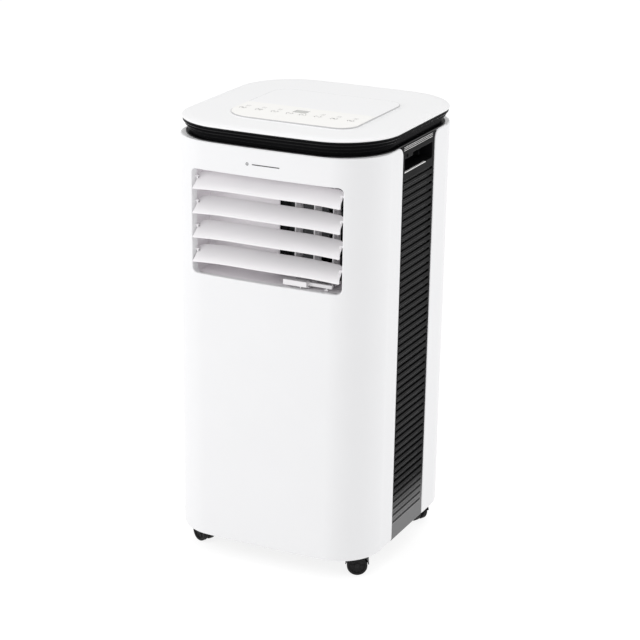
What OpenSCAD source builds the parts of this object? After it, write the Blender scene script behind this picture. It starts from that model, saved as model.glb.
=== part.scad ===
// Portable air conditioner: a free-standing cabinet on four twin-wheel casters.
// Frame: X to the right, the air outlet faces -Y, Z up; the origin is on the floor
// under the middle of the cabinet. All sizes are in millimetres.

/* [Cabinet] */
// Width of the cabinet at its top edge
body_w = 341.4; // [320:0.1:360]
// Depth of the cabinet at its top edge, without the bowed faces
body_d = 337.3; // [320:0.1:360]
// Plan radius of the cabinet's corners
body_r = 66.5; // [50:0.5:75]
// How far the front and the back bow out at the middle
bow = 7.2; // [4:0.1:10]
// Height of the cabinet's lower edge above the floor
body_z0 = 35.1; // [34:0.1:40]
// Height of the cabinet's upper edge
body_z1 = 671.9; // [665:0.1:680]
// Loss of width per millimetre below the upper edge
taper = 0.0000283; // [0:0.0000001:0.00005]
// Wall thickness of the housings
wall = 2.5; // [2:0.1:3]
// Half length of the side panels, front to back
panel_half = 60; // [50:0.5:62]

/* [Top] */
// How far the lid reaches past the cabinet
lid_over = 4.5; // [3:0.1:6]
// Plan radius of the lid's corners
lid_r = 89.2; // [80:0.1:95]
// Height of the lid's lower rim
lid_z0 = 693.9; // [690:0.1:696]
// Thickness of the lid
lid_t = 5; // [4:0.5:6]
// Width of the bevel round the lid
lid_bevel = 12.1; // [8:0.1:14]
// Half width of the raised control island
island_x = 107.9; // [100:0.1:114]
// Sideways place of the middle of the control island
island_mid = 4.4; // [0:0.1:5]
// Front edge of the control island
island_front = -121.5; // [-125:0.5:-118]
// Back edge of the control island
island_back = 80; // [70:0.5:90]
// Height of the control island above the lid
island_t = 3.1; // [2.5:0.1:4]
// Travel of a key
key_travel = 0.6; // [0.3:0.1:0.8]
// Radius of a key
key_r = 6.1; // [5:0.1:6.5]

/* [Air outlet] */
// Half width of the outlet opening
outlet_x = 125.3; // [120:0.1:126]
// Lower edge of the outlet opening
outlet_z0 = 465.2; // [460:0.1:470]
// Upper edge of the outlet opening
outlet_z1 = 626.8; // [620:0.1:628]
// Number of louvres
louver_count = 4; // [4:4]
// Height of the lowest louvre's front lip
louver_z = 485.3; // [484:0.1:486]
// Distance from one louvre to the next
louver_pitch = 37.7; // [37:0.1:38]
// Number of upright vanes behind the louvres
vane_count = 3; // [3:3]
// Place of the first vane, from the middle
vane_x = 35; // [34:0.5:36]
// Distance from one vane to the next
vane_pitch = 31; // [30:0.5:31]

/* [Side panels] */
// Number of slots in a side panel
slot_count = 48; // [20:1:48]
// Height of the lowest slot
slot_z0 = 66.4; // [66:0.1:70]
// Distance from one slot to the next
slot_pitch = 11.65; // [11:0.05:11.65]
// Height of a slot
slot_h = 4.2; // [4:0.1:6]
// Lower edge of the hand grip
grip_z0 = 629.5; // [628:0.5:632]
// Upper edge of the hand grip
grip_z1 = 654; // [650:0.5:656]
// Depth of the hand grip
grip_depth = 30; // [25:1:32]

/* [Back] */
// Inner radius of the exhaust hose socket
exhaust_r = 65; // [60:0.5:65]
// Height of the exhaust hose socket's axis
exhaust_z = 350; // [348:1:352]
// Half width of the two filters
filter_x = 115; // [100:1:115]
// Lower and upper edge of the upper filter
upper_filter_z = [445, 635];
// Lower and upper edge of the lower filter
lower_filter_z = [76, 262];
// Radius of the drain holes
drain_r = 6; // [5:0.5:7]
// Radius of the hole in the cord inlet
cord_r = 4; // [3.5:0.5:5]

/* [Casters] */
// Distance of a caster's swivel axis from the middle, to the side
caster_x = 127.5; // [120:0.5:128]
// Distance of a caster's swivel axis from the middle, front to back
caster_y = 118; // [110:0.5:119]
// Radius of a caster's wheels
wheel_r = 16; // [15:0.5:16]
// Distance from the swivel axis to the wheel axle
trail = 8; // [6:0.5:9]

/* [Hidden] */
$fn = 48;

// Running clearance of a pin in its hole.
run_gap = 0.05;
// Gap between two neighbouring pieces.
gap = 0.4;
// A cutting tool reaches this far past the surface it cuts.
past = 1;
// Cuts through a wall run between these two distances from the middle of the cabinet.
cut_from = 100;
cut_to = 200;

white = "#f1f2f4";
cool_white = "#e4e4e7";
cream = "#f0eee8";
gloss_black = "#141416";
satin_black = "#2a2b2d";
grey = "#8c8f94";
copper = "#b87342";

arc_steps = 10;
edge_steps = 10;

// Plan outline of the cabinet: a rounded rectangle whose front and back bow out.
function corner(cx, cy, r, a0) =
    [for (i = [0 : arc_steps]) let (a = a0 + 90 * i / arc_steps) [cx + r * cos(a), cy + r * sin(a)]];
function edge(x0, x1, y) = [for (i = [1 : edge_steps - 1]) [x0 + (x1 - x0) * i / edge_steps, y]];
function bowed(p, w, d, b) =
    [p[0], p[1] + sign(p[1]) * b * (1 - pow(2 * p[0] / w, 2)) * min(1, 2 * abs(p[1]) / d)];
function outline(w, d, r, b = bow) =
    let (x = w / 2 - r, y = d / 2 - r,
         raw = concat(corner(x, y, r, 0), edge(x, -x, d / 2), corner(-x, y, r, 90),
                      corner(-x, -y, r, 180), edge(-x, x, -d / 2), corner(x, -y, r, 270)))
    [for (p = raw) bowed(p, w, d, b)];

// Size factor of the cabinet at a height.
function shrink(z) = 1 - taper * (body_z1 - z);
// Outer face of the cabinet's side at a height.
function side_x(z) = body_w / 2 * shrink(z);
// Outer face of the cabinet's back at a height and a place across.
function back_y(x, z) = shrink(z) * (body_d / 2 + bow * (1 - pow(2 * x / body_w / shrink(z), 2)));

module body_plan(inset) {
    polygon(outline(body_w - 2 * inset, body_d - 2 * inset, body_r - inset));
}

// A slice of the tapered cabinet between two heights, drawn in from its surface by inset.
module body_slice(z0, z1, inset) {
    translate([0, 0, z0])
        linear_extrude(z1 - z0, scale = shrink(z1) / shrink(z0))
            scale(shrink(z0)) body_plan(inset);
}

// A box given by its low and high corners.
module block(low, high) {
    translate(low) cube(high - low);
}

// A round bar along +Y from y0 to y1.
module bar_y(x, z, y0, y1, r) {
    translate([x, y0, z]) rotate([-90, 0, 0]) cylinder(h = y1 - y0, r = r);
}

// A round bar along +X from x0 to x1.
module bar_x(y, z, x0, x1, r) {
    translate([x0, y, z]) rotate([0, 90, 0]) cylinder(h = x1 - x0, r = r);
}

// A plate in the X-Z plane with rounded corners, from y0 to y1.
module rounded_plate(x0, x1, z0, z1, y0, y1, r) {
    translate([0, y1, 0]) rotate([90, 0, 0]) linear_extrude(y1 - y0) {
        translate([x0 + r, z0]) square([x1 - x0 - 2 * r, z1 - z0]);
        translate([x0, z0 + r]) square([x1 - x0, z1 - z0 - 2 * r]);
        for (x = [x0 + r, x1 - r], z = [z0 + r, z1 - r]) translate([x, z]) circle(r);
    }
}

/* ---- Cabinet ---- */

pan_z0 = 37;
pan_z1 = 62;
socket_top = 60;
socket_r = 9;
stem_r = 4;

module base_pan() {
    pan_w = 2 * (side_x(body_z0) - panel_inset - panel_t - gap);
    pan_d = body_d * shrink(body_z0) - 2 * wall - 2 * gap;
    pan_r = body_r - wall - 2;
    color(satin_black) difference() {
        union() {
            difference() {
                translate([0, 0, pan_z0])
                    linear_extrude(pan_z1 - pan_z0) polygon(outline(pan_w, pan_d, pan_r));
                translate([0, 0, pan_z0 + 3])
                    linear_extrude(pan_z1)
                        polygon(outline(pan_w - 4, pan_d - 4, pan_r - 2));
            }
            for (x = [-caster_x, caster_x], y = [-caster_y, caster_y])
                translate([x, y, pan_z0]) cylinder(h = socket_top - pan_z0, r = socket_r);
        }
        for (x = [-caster_x, caster_x], y = [-caster_y, caster_y])
            translate([x, y, pan_z0 - past]) cylinder(h = socket_top - pan_z0 - 1, r = stem_r + run_gap);
        bar_y(0, lower_drain_z, cut_from, cut_to, drain_head_r);
    }
}

ledge_w = 12;
exhaust_flange_r = exhaust_r + 11;
lower_drain_z = 52;
drain_head_r = drain_r + 3;
upper_drain = [100, 296];
upper_drain_x = upper_drain[0];
upper_drain_z = upper_drain[1];

// The tapered wall of the cabinet with a ledge round its top edge.
module cabinet_wall() {
    difference() {
        body_slice(body_z0, body_z1, 0);
        body_slice(body_z0 - past, body_z1 - wall, wall);
        body_slice(body_z1 - wall - past, body_z1 + past, ledge_w);
    }
}

module front_shell() {
    color(white) difference() {
        cabinet_wall();
        block([-cut_to, -panel_half, 0], [cut_to, cut_to, 700]);
        rounded_plate(-outlet_x, outlet_x, outlet_z0, outlet_z1, -cut_to, -cut_from, 8);
    }
}

module rear_shell() {
    color(white) difference() {
        cabinet_wall();
        block([-cut_to, -cut_to, 0], [cut_to, panel_half, 700]);
        for (z = [upper_filter_z, lower_filter_z])
            rounded_plate(-filter_x, filter_x, z[0], z[1], cut_from, cut_to, 6);
        bar_y(0, exhaust_z, cut_from, cut_to, exhaust_flange_r + gap);
        bar_y(0, lower_drain_z, cut_from, cut_to, drain_head_r);
        bar_y(upper_drain_x, upper_drain_z, cut_from, cut_to, drain_r + run_gap);
        bar_y(-cord_place[0], cord_place[1], cut_from, cut_to, cord_sleeve_r);
        for (s = rear_screws) bar_y(s[0], s[1], cut_from, cut_to, screw_r + 0.2);
    }
}

panel_t = 4;
panel_inset = 1.2;
panel_z0 = 37.5;
panel_z1 = 668;
grip_y = 52;
grip_step_y = -22;
grip_step = 4.5;
slot_y = 55;
cup_wall = 2;

// Side panel seen from the right; the left one is its mirror image.
module side_panel() {
    out0 = side_x(panel_z0) - panel_inset;
    out1 = side_x(panel_z1) - panel_inset;
    cup_x1 = side_x(grip_z1) - panel_inset - 1;
    cup_x0 = cup_x1 - grip_depth;
    difference() {
        union() {
            translate([0, panel_half - gap, 0]) rotate([90, 0, 0])
                linear_extrude(2 * (panel_half - gap))
                    polygon([[out0 - panel_t, panel_z0], [out0, panel_z0],
                             [out1, panel_z1], [out1 - panel_t, panel_z1]]);
            block([cup_x0 - cup_wall, -grip_y - cup_wall, grip_z0 - cup_wall],
                  [cup_x1 - 1, grip_y + cup_wall, grip_z1 + cup_wall]);
        }
        block([cup_x0, -grip_y, grip_z0], [cut_to, grip_y, grip_z1 - grip_step]);
        block([cup_x0, grip_step_y, grip_z0], [cut_to, grip_y, grip_z1]);
        for (i = [0 : slot_count - 1])
            block([cut_from, -slot_y, slot_z0 + i * slot_pitch - slot_h / 2],
                  [cut_to, slot_y, slot_z0 + i * slot_pitch + slot_h / 2]);
        bar_x(grip_screw_y, grip_screw_z, cut_from, cut_to, screw_r + 0.2);
    }
}

module side_panel_right() {
    color(satin_black) side_panel();
}

module side_panel_left() {
    color(satin_black) mirror([1, 0, 0]) side_panel();
}

collar_steps = 4;
collar_step_in = 3.4;
collar_bore = 30;

// Stepped ring between the cabinet and the lid: each step is narrower than the one above.
module collar_ring() {
    step_h = (lid_z0 - body_z1) / collar_steps;
    color(gloss_black) difference() {
        union() for (i = [0 : collar_steps - 1])
            translate([0, 0, body_z1 + i * step_h]) linear_extrude(step_h)
                lid_plan(1.5 + (collar_steps - 1 - i) * collar_step_in);
        translate([0, 0, body_z1 - past]) linear_extrude(lid_z0) body_plan(collar_bore);
    }
}

/* ---- Lid and controls ---- */

lid_top = lid_z0 + lid_t;
island_top = lid_top + island_t;
overlay_t = 0.6;
overlay_back = -30;
key_rise = 0.2;
key_x = [-89.5, -62.3, -35.7, -10.9, 10.9, 35.7, 62.3, 89.5];
key_y = -72.5;
key_stem_r = 1.6;
key_depth = 1.6;
key_gap = 0.3;
island_r = 30;
lid_rim_t = 2.5;
display_x = 11;
display_y = [-63, -47];

module lid_plan(inset) {
    polygon(outline(body_w + 2 * lid_over - 2 * inset, body_d + 2 * lid_over - 2 * inset,
                    lid_r - inset));
}

module island_plan(inset, back) {
    r = island_r - inset;
    x = island_x - inset;
    y0 = island_front + inset;
    translate([island_mid, 0]) {
        translate([-x + r, y0]) square([2 * (x - r), back - y0]);
        translate([-x, y0 + r]) square([2 * x, back - y0 - r]);
        for (cx = [-x + r, x - r]) translate([cx, y0 + r]) circle(r);
    }
}

// Round holes for the keys, from a height up.
module key_holes(z0, r) {
    for (x = key_x) translate([x, key_y, z0]) cylinder(h = 30, r = r + key_gap);
}

module display_hole() {
    block([-display_x - gap, display_y[0] - gap, lid_z0 - past],
          [display_x + gap, display_y[1] + gap, island_top + 8]);
}

module top_lid() {
    color(white) difference() {
        union() {
            translate([0, 0, lid_z0]) linear_extrude(lid_t - lid_rim_t) lid_plan(0);
            translate([0, 0, lid_top - lid_rim_t]) linear_extrude(lid_rim_t) lid_plan(lid_bevel);
            translate([0, 0, lid_top]) linear_extrude(island_t) {
                x = island_x - island_r;
                island_plan(0, island_back - island_r);
                translate([island_mid, 0]) {
                    translate([-x, 0]) square([2 * x, island_back]);
                    for (cx = [-x, x]) translate([cx, island_back - island_r]) circle(island_r);
                }
            }
        }
        key_holes(island_top - key_depth - key_travel, key_r);
        key_holes(lid_z0 - past, key_stem_r);
        display_hole();
    }
}

module control_panel() {
    color(cream) difference() {
        translate([0, 0, island_top]) linear_extrude(overlay_t) island_plan(1.5, overlay_back);
        key_holes(lid_top, key_r);
        display_hole();
    }
}

module display_window() {
    color("#26282b")
        block([-display_x, display_y[0], island_top - 2],
              [display_x, display_y[1], island_top + overlay_t]);
}

board_z = 684;
switch_top = 690;

// Round key: a cap in the panel and a stem down to its switch.
module key(i) {
    color(cream) translate([key_x[i - 1], key_y, 0]) {
        cap_z0 = island_top - key_depth;
        translate([0, 0, cap_z0]) cylinder(h = island_top + overlay_t + key_rise - cap_z0, r = key_r);
        translate([0, 0, switch_top + key_travel + 0.1])
            cylinder(h = cap_z0 - switch_top - key_travel, r = key_stem_r);
    }
}

module key_1() { key(1); }
module key_2() { key(2); }
module key_3() { key(3); }
module key_4() { key(4); }
module key_5() { key(5); }
module key_6() { key(6); }
module key_7() { key(7); }
module key_8() { key(8); }

// Circuit board with one switch under each key and four posts up to the lid.
module control_board() {
    color("#2f6b3c") {
        block([-104, -100, board_z], [104, -44, board_z + 1.6]);
        for (x = key_x) block([x - 3, key_y - 3, board_z + 1.6], [x + 3, key_y + 3, switch_top]);
        block([-10, -62, board_z + 1.6], [10, -48, lid_z0 + 5]);
        for (x = [-100, 100], y = [-96, -48])
            translate([x, y, board_z + 1.6]) cylinder(h = lid_z0 - board_z - 1.6, r = 3);
    }
}

/* ---- Air outlet ---- */

frame_in = 123;
frame_out = 126;
frame_y0 = -163.7;
frame_y1 = -112;
frame_wall = 3;
mouth_x0 = 5;
pivot_depth = 16;
pivot_rise = 14;
pivot_y = -(body_d / 2 + bow) + pivot_depth;
louver_pin_r = 2;
vane_y = -128;
vane_pin_r = 1.5;

function louver_place(i) = louver_z + (louver_count - i) * louver_pitch + pivot_rise;
function vane_place(i) = vane_x + (i - 1) * vane_pitch;

// Duct behind the opening: it carries the pivots of the louvres and of the vanes.
module outlet_frame() {
    z0 = outlet_z0;
    z1 = outlet_z1;
    color(cool_white) difference() {
        block([-frame_out, frame_y0, z0 - frame_wall], [frame_out, frame_y1, z1 + frame_wall]);
        block([-frame_in, frame_y0 - past, z0], [frame_in, frame_y1 - 2, z1]);
        block([mouth_x0, frame_y0, z0], [frame_in, frame_y1 + past, z1]);
        for (i = [1 : louver_count])
            bar_x(pivot_y, louver_place(i), -cut_to, cut_to, louver_pin_r + run_gap);
        for (i = [1 : vane_count])
            translate([vane_place(i), vane_y, 400]) cylinder(h = 300, r = vane_pin_r + run_gap);
    }
}

louver_end = 120;
louver_t = 2.2;
link_arm = 11;
link_drop = 15;
link_pin_r = 1.2;
link_pin_y = link_arm * cos(link_drop);
link_pin_z = -link_arm * sin(link_drop);
link_x0 = louver_end + 0.6;
link_x1 = link_x0 + 1.6;

louver_depth = 27.5;
louver_h = 22;
louver_steps = 8;
louver_rows = 12;

// Cross-section of a louvre from its lip at the front (t = 0) to its top edge at the back
// (t = 1): an upright lip that curves back and up. The lip follows the bowed front.
function louver_outer(x, t) =
    let (front = bow * pow(2 * x / body_w, 2) - pivot_depth, back = louver_depth - pivot_depth)
    [x, front + (back - front) * pow(t, 1.6), louver_h * pow(t, 0.75) - pivot_rise];
function louver_ring(x) =
    concat([for (j = [0 : louver_steps]) louver_outer(x, j / louver_steps)],
           [for (j = [louver_steps : -1 : 0]) let (t = j / louver_steps)
               louver_outer(x, t) + [0, louver_t, -louver_t * t]]);

// Bowed skin of a louvre, lofted through cross-sections along its length.
module louver_skin() {
    n = 2 * (louver_steps + 1);
    points = [for (k = [0 : louver_rows])
                 each louver_ring(louver_end * (2 * k / louver_rows - 1))];
    sides = [for (k = [0 : louver_rows - 1], j = [0 : n - 1])
                let (a = k * n + j, b = k * n + (j + 1) % n)
                each [[a, b, b + n], [a, b + n, a + n]]];
    first = [for (j = [0 : louver_steps - 1])
                each [[j + 1, j, n - 1 - j], [j + 1, n - 1 - j, n - 2 - j]]];
    last = [for (f = first) [f[0], f[2], f[1]] + louver_rows * n * [1, 1, 1]];
    polyhedron(points, concat(sides, first, last));
}

module louver(i) {
    color(cool_white) translate([0, pivot_y, louver_place(i)]) {
        louver_skin();
        for (side = [-1, 1]) {
            x0 = side > 0 ? louver_end - 3 : 0.5 - frame_out;
            bar_x(0, 0, x0, x0 + frame_out - louver_end + 2.5, louver_pin_r);
        }
        for (x = [-louver_end, louver_end - 3]) block([x, -3, -2], [x + 3, 3, 1]);
        block([louver_end - 3, link_pin_y - 3, link_pin_z - 2], [louver_end, link_pin_y - 0.5, 5.5]);
        bar_x(link_pin_y, link_pin_z, louver_end - 1, link_x1, link_pin_r);
    }
}

module louver_1() { louver(1); }
module louver_2() { louver(2); }
module louver_3() { louver(3); }
module louver_4() { louver(4); }

// Upright bar that ties the four louvres together.
module louver_link() {
    y = pivot_y + link_pin_y;
    low = louver_place(louver_count) + link_pin_z;
    high = louver_place(1) + link_pin_z;
    color(cool_white) difference() {
        block([link_x0, y - 2.5, low - 3], [link_x1, y + 2.5, high + 3]);
        for (i = [1 : louver_count])
            bar_x(y, louver_place(i) + link_pin_z, cut_from, cut_to, link_pin_r + run_gap);
    }
}

vane_link_y = -160;
vane_link_z0 = 468.6;
vane_link_z1 = 475.4;
vane_t = 1.8;

// Upright vane with a foot that reaches forward to the link bar.
module vane(i) {
    z0 = outlet_z0 + 1;
    z1 = outlet_z1 - 1;
    color(cool_white) translate([vane_place(i), 0, 0]) {
        block([-vane_t / 2, vane_y - 13, z0], [vane_t / 2, vane_y + 11, z1]);
        block([-2.5, vane_link_y - 2.5, z0], [2.5, vane_y, z0 + 2]);
        translate([0, vane_link_y, z0]) cylinder(h = vane_link_z1 - z0 - 0.5, r = link_pin_r);
        translate([0, vane_y, outlet_z0 - frame_wall])
            cylinder(h = outlet_z1 - outlet_z0 + 2 * frame_wall, r = vane_pin_r);
    }
}

module vane_1() { vane(1); }
module vane_2() { vane(2); }
module vane_3() { vane(3); }

// Bar that ties the vanes together, with a block and a fin to move it by.
module vane_link() {
    tab_x1 = 68;
    fin_x = 57;
    color(white) difference() {
        union() {
            block([29, vane_link_y - 2.5, vane_link_z0], [106, vane_link_y + 2.5, vane_link_z1]);
            block([29, vane_link_y - 9, vane_link_z0], [tab_x1, vane_link_y, vane_link_z1]);
            block([fin_x, vane_link_y - 9, vane_link_z0 - 1.5], [fin_x + 1.6, vane_link_y, vane_link_z1]);
        }
        for (i = [1 : vane_count])
            translate([vane_place(i), vane_link_y, 400])
                cylinder(h = 100, r = link_pin_r + run_gap);
    }
}

/* ---- Back ---- */

filter_y0 = 158;
filter_y1 = 166;
filter_rim = 7;
filter_ribs = 5;
screw_r = 1.6;
cord_place = [108, 300];
cord_sleeve_r = cord_r + 4;
grip_screw_y = -42.5;
grip_screw_z = grip_z1 - 0.7;
rear_screws = [for (x = [-126, 126], z = [110, 400, 652]) [x, z]];

// Filter frame with a grid of ribs and a pull tab.
module filter_frame(z) {
    rim = filter_rim;
    x = filter_x - gap;
    z0 = z[0] + gap;
    z1 = z[1] - gap;
    color(satin_black) {
        difference() {
            rounded_plate(-x, x, z0, z1, filter_y0, filter_y1, 5.5);
            block([-x + rim, cut_from, z0 + rim], [x - rim, cut_to, z1 - rim]);
        }
        for (i = [1 : filter_ribs - 1]) {
            rib_x = -x + i * 2 * x / filter_ribs;
            rib_z = z0 + i * (z1 - z0) / filter_ribs;
            block([rib_x - 1, filter_y1 - 3, z0 + rim - 1], [rib_x + 1, filter_y1, z1 - rim + 1]);
            block([-x + rim - 1, filter_y1 - 3, rib_z - 1], [x - rim + 1, filter_y1, rib_z + 1]);
        }
        block([-18, filter_y1 - 1, z1 - rim + 1], [18, filter_y1 + 4, z1 - rim + 4]);
    }
}

module filter_mesh(z) {
    rim = filter_rim + gap;
    color(grey)
        block([-filter_x + rim, filter_y0 + 1, z[0] + rim],
              [filter_x - rim, filter_y0 + 1.8, z[1] - rim]);
}

module upper_filter_frame() { filter_frame(upper_filter_z); }
module lower_filter_frame() { filter_frame(lower_filter_z); }
module upper_filter_mesh() { filter_mesh(upper_filter_z + [gap, -gap]); }
module lower_filter_mesh() { filter_mesh(lower_filter_z + [gap, -gap]); }

exhaust_y0 = 150;
exhaust_y1 = 178;
exhaust_wall = 3;

// Round socket that the exhaust hose pushes into.
module exhaust_collar() {
    color(satin_black) difference() {
        union() {
            bar_y(0, exhaust_z, exhaust_y0, exhaust_y1, exhaust_r + exhaust_wall);
            bar_y(0, exhaust_z, exhaust_y1 - 14, exhaust_y1, exhaust_flange_r);
        }
        bar_y(0, exhaust_z, cut_from, cut_to, exhaust_r);
    }
}

// Rubber bung: a head outside and a stem in the drain hole.
module drain_plug(x, z, y, stem) {
    color("#1b1b1c") {
        bar_y(x, z, y, y + 3.5, drain_head_r);
        bar_y(x, z, y - stem, y + 1, drain_r);
    }
}

upper_drain_y = back_y(upper_drain_x - drain_head_r, upper_drain_z) + 0.2;
lower_drain_y = back_y(0, lower_drain_z) - 2;

module upper_drain_plug() { drain_plug(upper_drain_x, upper_drain_z, upper_drain_y, 9); }
module lower_drain_plug() { drain_plug(0, lower_drain_z, lower_drain_y, 9); }

// Sleeve in the back that the power cord passes through.
module cord_inlet() {
    x = -cord_place[0];
    z = cord_place[1];
    y = back_y(x, z);
    color(satin_black) difference() {
        union() {
            bar_y(x, z, y - 12, y + 1, cord_sleeve_r - gap);
            bar_y(x, z, y - 12, y - 6, cord_sleeve_r + 1.5);
        }
        bar_y(x, z, cut_from, cut_to, cord_r);
    }
}

// Pan-head screws that hold the back and the side panels.
module housing_screws() {
    color(grey) {
        for (s = rear_screws) {
            y = back_y(s[0], s[1]) + 0.6;
            bar_y(s[0], s[1], y, y + 1.8, 3.4);
            bar_y(s[0], s[1], y - 10, y + 0.5, screw_r);
        }
        for (side = [0, 1]) mirror([side, 0, 0]) {
            x = side_x(grip_screw_z) - panel_inset + 0.1;
            bar_x(grip_screw_y, grip_screw_z, x, x + 0.8, 2.6);
            bar_x(grip_screw_y, grip_screw_z, x - 9, x + 0.5, screw_r);
        }
    }
}

/* ---- Casters ---- */

// Resting direction of each caster: front left, front right, back left, back right.
caster_turn = [155, 25, 205, -25];
caster_at = [[-caster_x, -caster_y], [caster_x, -caster_y], [-caster_x, caster_y], [caster_x, caster_y]];
hood_r = wheel_r + 2.6;
hood_t = 1.4;
axle_r = 2;
web_half = 2.4;
caster_half = 11.5;

// Moves from a caster's own frame, with its swivel axis on Z and rolling along +X.
module at_caster(i) {
    translate([caster_at[i - 1][0], caster_at[i - 1][1], 0]) rotate([0, 0, caster_turn[i - 1]])
        children();
}

module caster_fork(i) {
    color(gloss_black) at_caster(i) {
        difference() {
            union() {
                bar_y(trail, wheel_r, -web_half, web_half, hood_r - 0.5);
                difference() {
                    bar_y(trail, wheel_r, -caster_half, caster_half, hood_r);
                    bar_y(trail, wheel_r, -caster_half - past, caster_half + past, hood_r - hood_t);
                }
            }
            block([trail - 30, -20, -10], [trail + 30, 20, wheel_r + 3]);
            bar_y(trail, wheel_r, -20, 20, axle_r + run_gap);
        }
        difference() {
            bar_y(trail, wheel_r, -web_half, web_half, 6);
            bar_y(trail, wheel_r, -20, 20, axle_r + run_gap);
        }
        difference() {
            translate([0, 0, wheel_r + 8]) cylinder(h = socket_top - 3 - wheel_r - 8, r = stem_r);
            for (s = [-1, 1])
                bar_y(trail, wheel_r, s > 0 ? web_half : -20, s > 0 ? 20 : -web_half, hood_r - 1);
        }
    }
}

module caster_fork_1() { caster_fork(1); }
module caster_fork_2() { caster_fork(2); }
module caster_fork_3() { caster_fork(3); }
module caster_fork_4() { caster_fork(4); }

// Two wheels on one axle.
module caster_wheels(i) {
    color(satin_black) at_caster(i) {
        for (s = [-1, 1]) {
            y0 = s > 0 ? web_half + 0.5 : -caster_half + 0.5;
            difference() {
                bar_y(trail, wheel_r, y0, y0 + caster_half - web_half - 1, wheel_r);
                bar_y(trail, wheel_r, s > 0 ? caster_half - 2 : -20,
                      s > 0 ? 20 : -caster_half + 2, wheel_r - 4);
            }
        }
        bar_y(trail, wheel_r, -caster_half + 2, caster_half - 2, axle_r);
    }
}

module caster_wheels_1() { caster_wheels(1); }
module caster_wheels_2() { caster_wheels(2); }
module caster_wheels_3() { caster_wheels(3); }
module caster_wheels_4() { caster_wheels(4); }

/* ---- Cooling circuit ---- */

pan_floor = pan_z0 + 3;
compressor_at = [-60, -80];
compressor_r = 52;
accumulator_at = [14, -112];
foot_z = pan_floor + 8;
circuit_top = 250;

// Sealed compressor on a foot plate, with its accumulator beside it.
module compressor() {
    color("#202124") {
        translate([compressor_at[0], compressor_at[1], foot_z + 1]) {
            cylinder(h = 165, r = compressor_r);
            translate([0, 0, 165]) cylinder(h = circuit_top - foot_z - 170, r1 = compressor_r, r2 = 22);
        }
        for (a = [30, 150, 270]) translate([compressor_at[0], compressor_at[1], 0]) rotate(a)
            difference() {
                block([30, -10, foot_z], [70, 10, foot_z + 4]);
                translate([62, 0, 0]) cylinder(h = 200, r = 4.5);
            }
        translate([accumulator_at[0], accumulator_at[1], 90]) cylinder(h = 120, r = 19);
    }
}

module compressor_grommets() {
    color("#151515")
        for (a = [30, 150, 270]) translate([compressor_at[0], compressor_at[1], 0]) rotate(a)
            translate([62, 0, 0]) {
                translate([0, 0, pan_floor]) cylinder(h = foot_z - pan_floor, r = 8);
                translate([0, 0, foot_z]) cylinder(h = 4, r = 4.3);
                translate([0, 0, foot_z + 4]) cylinder(h = 2, r = 8);
            }
}

// Finned coil between two end plates, with round return bends on both sides.
module coil(y0, y1, z0, z1) {
    rows = floor((z1 - z0) / 26);
    color("#b9bcc0") block([-112, y0, z0], [112, y1, z1]);
    color(copper) for (i = [0 : rows - 1], x = [-120, 112])
        bar_x((y0 + y1) / 2, z0 + 13 + i * 26, x, x + 8, 5);
}

coil_y0 = 118;
coil_y1 = 148;
evaporator_y0 = 84;
evaporator_y1 = 114;
tray_z0 = 430;
tray_z1 = 452;

module condenser_coil() { coil(coil_y0, coil_y1, pan_floor + 12, 264); }
module evaporator_coil() { coil(evaporator_y0, evaporator_y1, tray_z1 - 14, 632); }

// Tray under the evaporator: it parts the cold section from the hot one.
module drip_tray() {
    color("#d8d8da") difference() {
        block([-146, -100, tray_z0], [146, 136, tray_z1]);
        block([-143, -97, tray_z0 + 3], [143, 133, tray_z1 + past]);
        translate([suction_x, suction_y, 400]) cylinder(h = 100, r = pipe_r + 1);
    }
}

// Squirrel-cage wheel along Y on its shaft: a back plate, a front ring and a ring of blades.
module blower(x, z, y0, y1, r, blades) {
    color("#3b3d40") translate([x, 0, z]) {
        bar_y(0, 0, y0, y0 + 2, r);
        bar_y(0, 0, y0, y0 + 22, 14);
        bar_y(0, 0, y0, y1 + shaft_reach, shaft_r);
        difference() {
            bar_y(0, 0, y1 - 2, y1, r);
            bar_y(0, 0, y1 - 2 - past, y1 + past, r - 10);
        }
        for (i = [0 : blades - 1]) rotate([0, i * 360 / blades, 0])
            block([r - 9, y0 + 1, -0.7], [r - 1, y1 - 1, 0.7]);
    }
}

// Volute housing along Y, with a round inlet on one face and a box-shaped throat.
module volute(x, z, y0, y1, r, throat_x) {
    t = 2;
    difference() {
        union() {
            bar_y(x, z, y0, y1, r);
            block([x, y0, z], [throat_x, y1, z + r]);
        }
        bar_y(x, z, y0 + t, y1 - t, r - t);
        block([x, y0 + t, z], [throat_x - t, y1 - t, z + r - t]);
    }
}

shaft_r = 4;
shaft_reach = 30;
evaporator_at = [0, 545];
evaporator_fan_r = 72;
scroll_y0 = -110;
scroll_y1 = -16;
condenser_at = [0, exhaust_z];
condenser_fan_r = 58;
lower_scroll_y0 = -10;
lower_scroll_y1 = 74;

module evaporator_scroll() {
    x = evaporator_at[0];
    z = evaporator_at[1];
    color("#3a3b3e") difference() {
        volute(x, z, scroll_y0, scroll_y1, 88, 120);
        bar_y(x, z, scroll_y1 - 10, scroll_y1 + 10, 60);
        block([mouth_x0 + 2, scroll_y0 - past, outlet_z0 + 10], [118, scroll_y0 + 10, outlet_z1 - 4]);
    }
}

module condenser_scroll() {
    x = condenser_at[0];
    z = condenser_at[1];
    color("#3a3b3e") difference() {
        union() {
            volute(x, z, lower_scroll_y0, lower_scroll_y1, 76, 90);
            bar_y(x, z, lower_scroll_y1 - 2, exhaust_y0 - gap, exhaust_r);
        }
        bar_y(x, z, lower_scroll_y1 - 10, exhaust_y0 + past, exhaust_r - 2.5);
        bar_y(x, z, lower_scroll_y0 - past, lower_scroll_y0 + 10, 48);
    }
}

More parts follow.
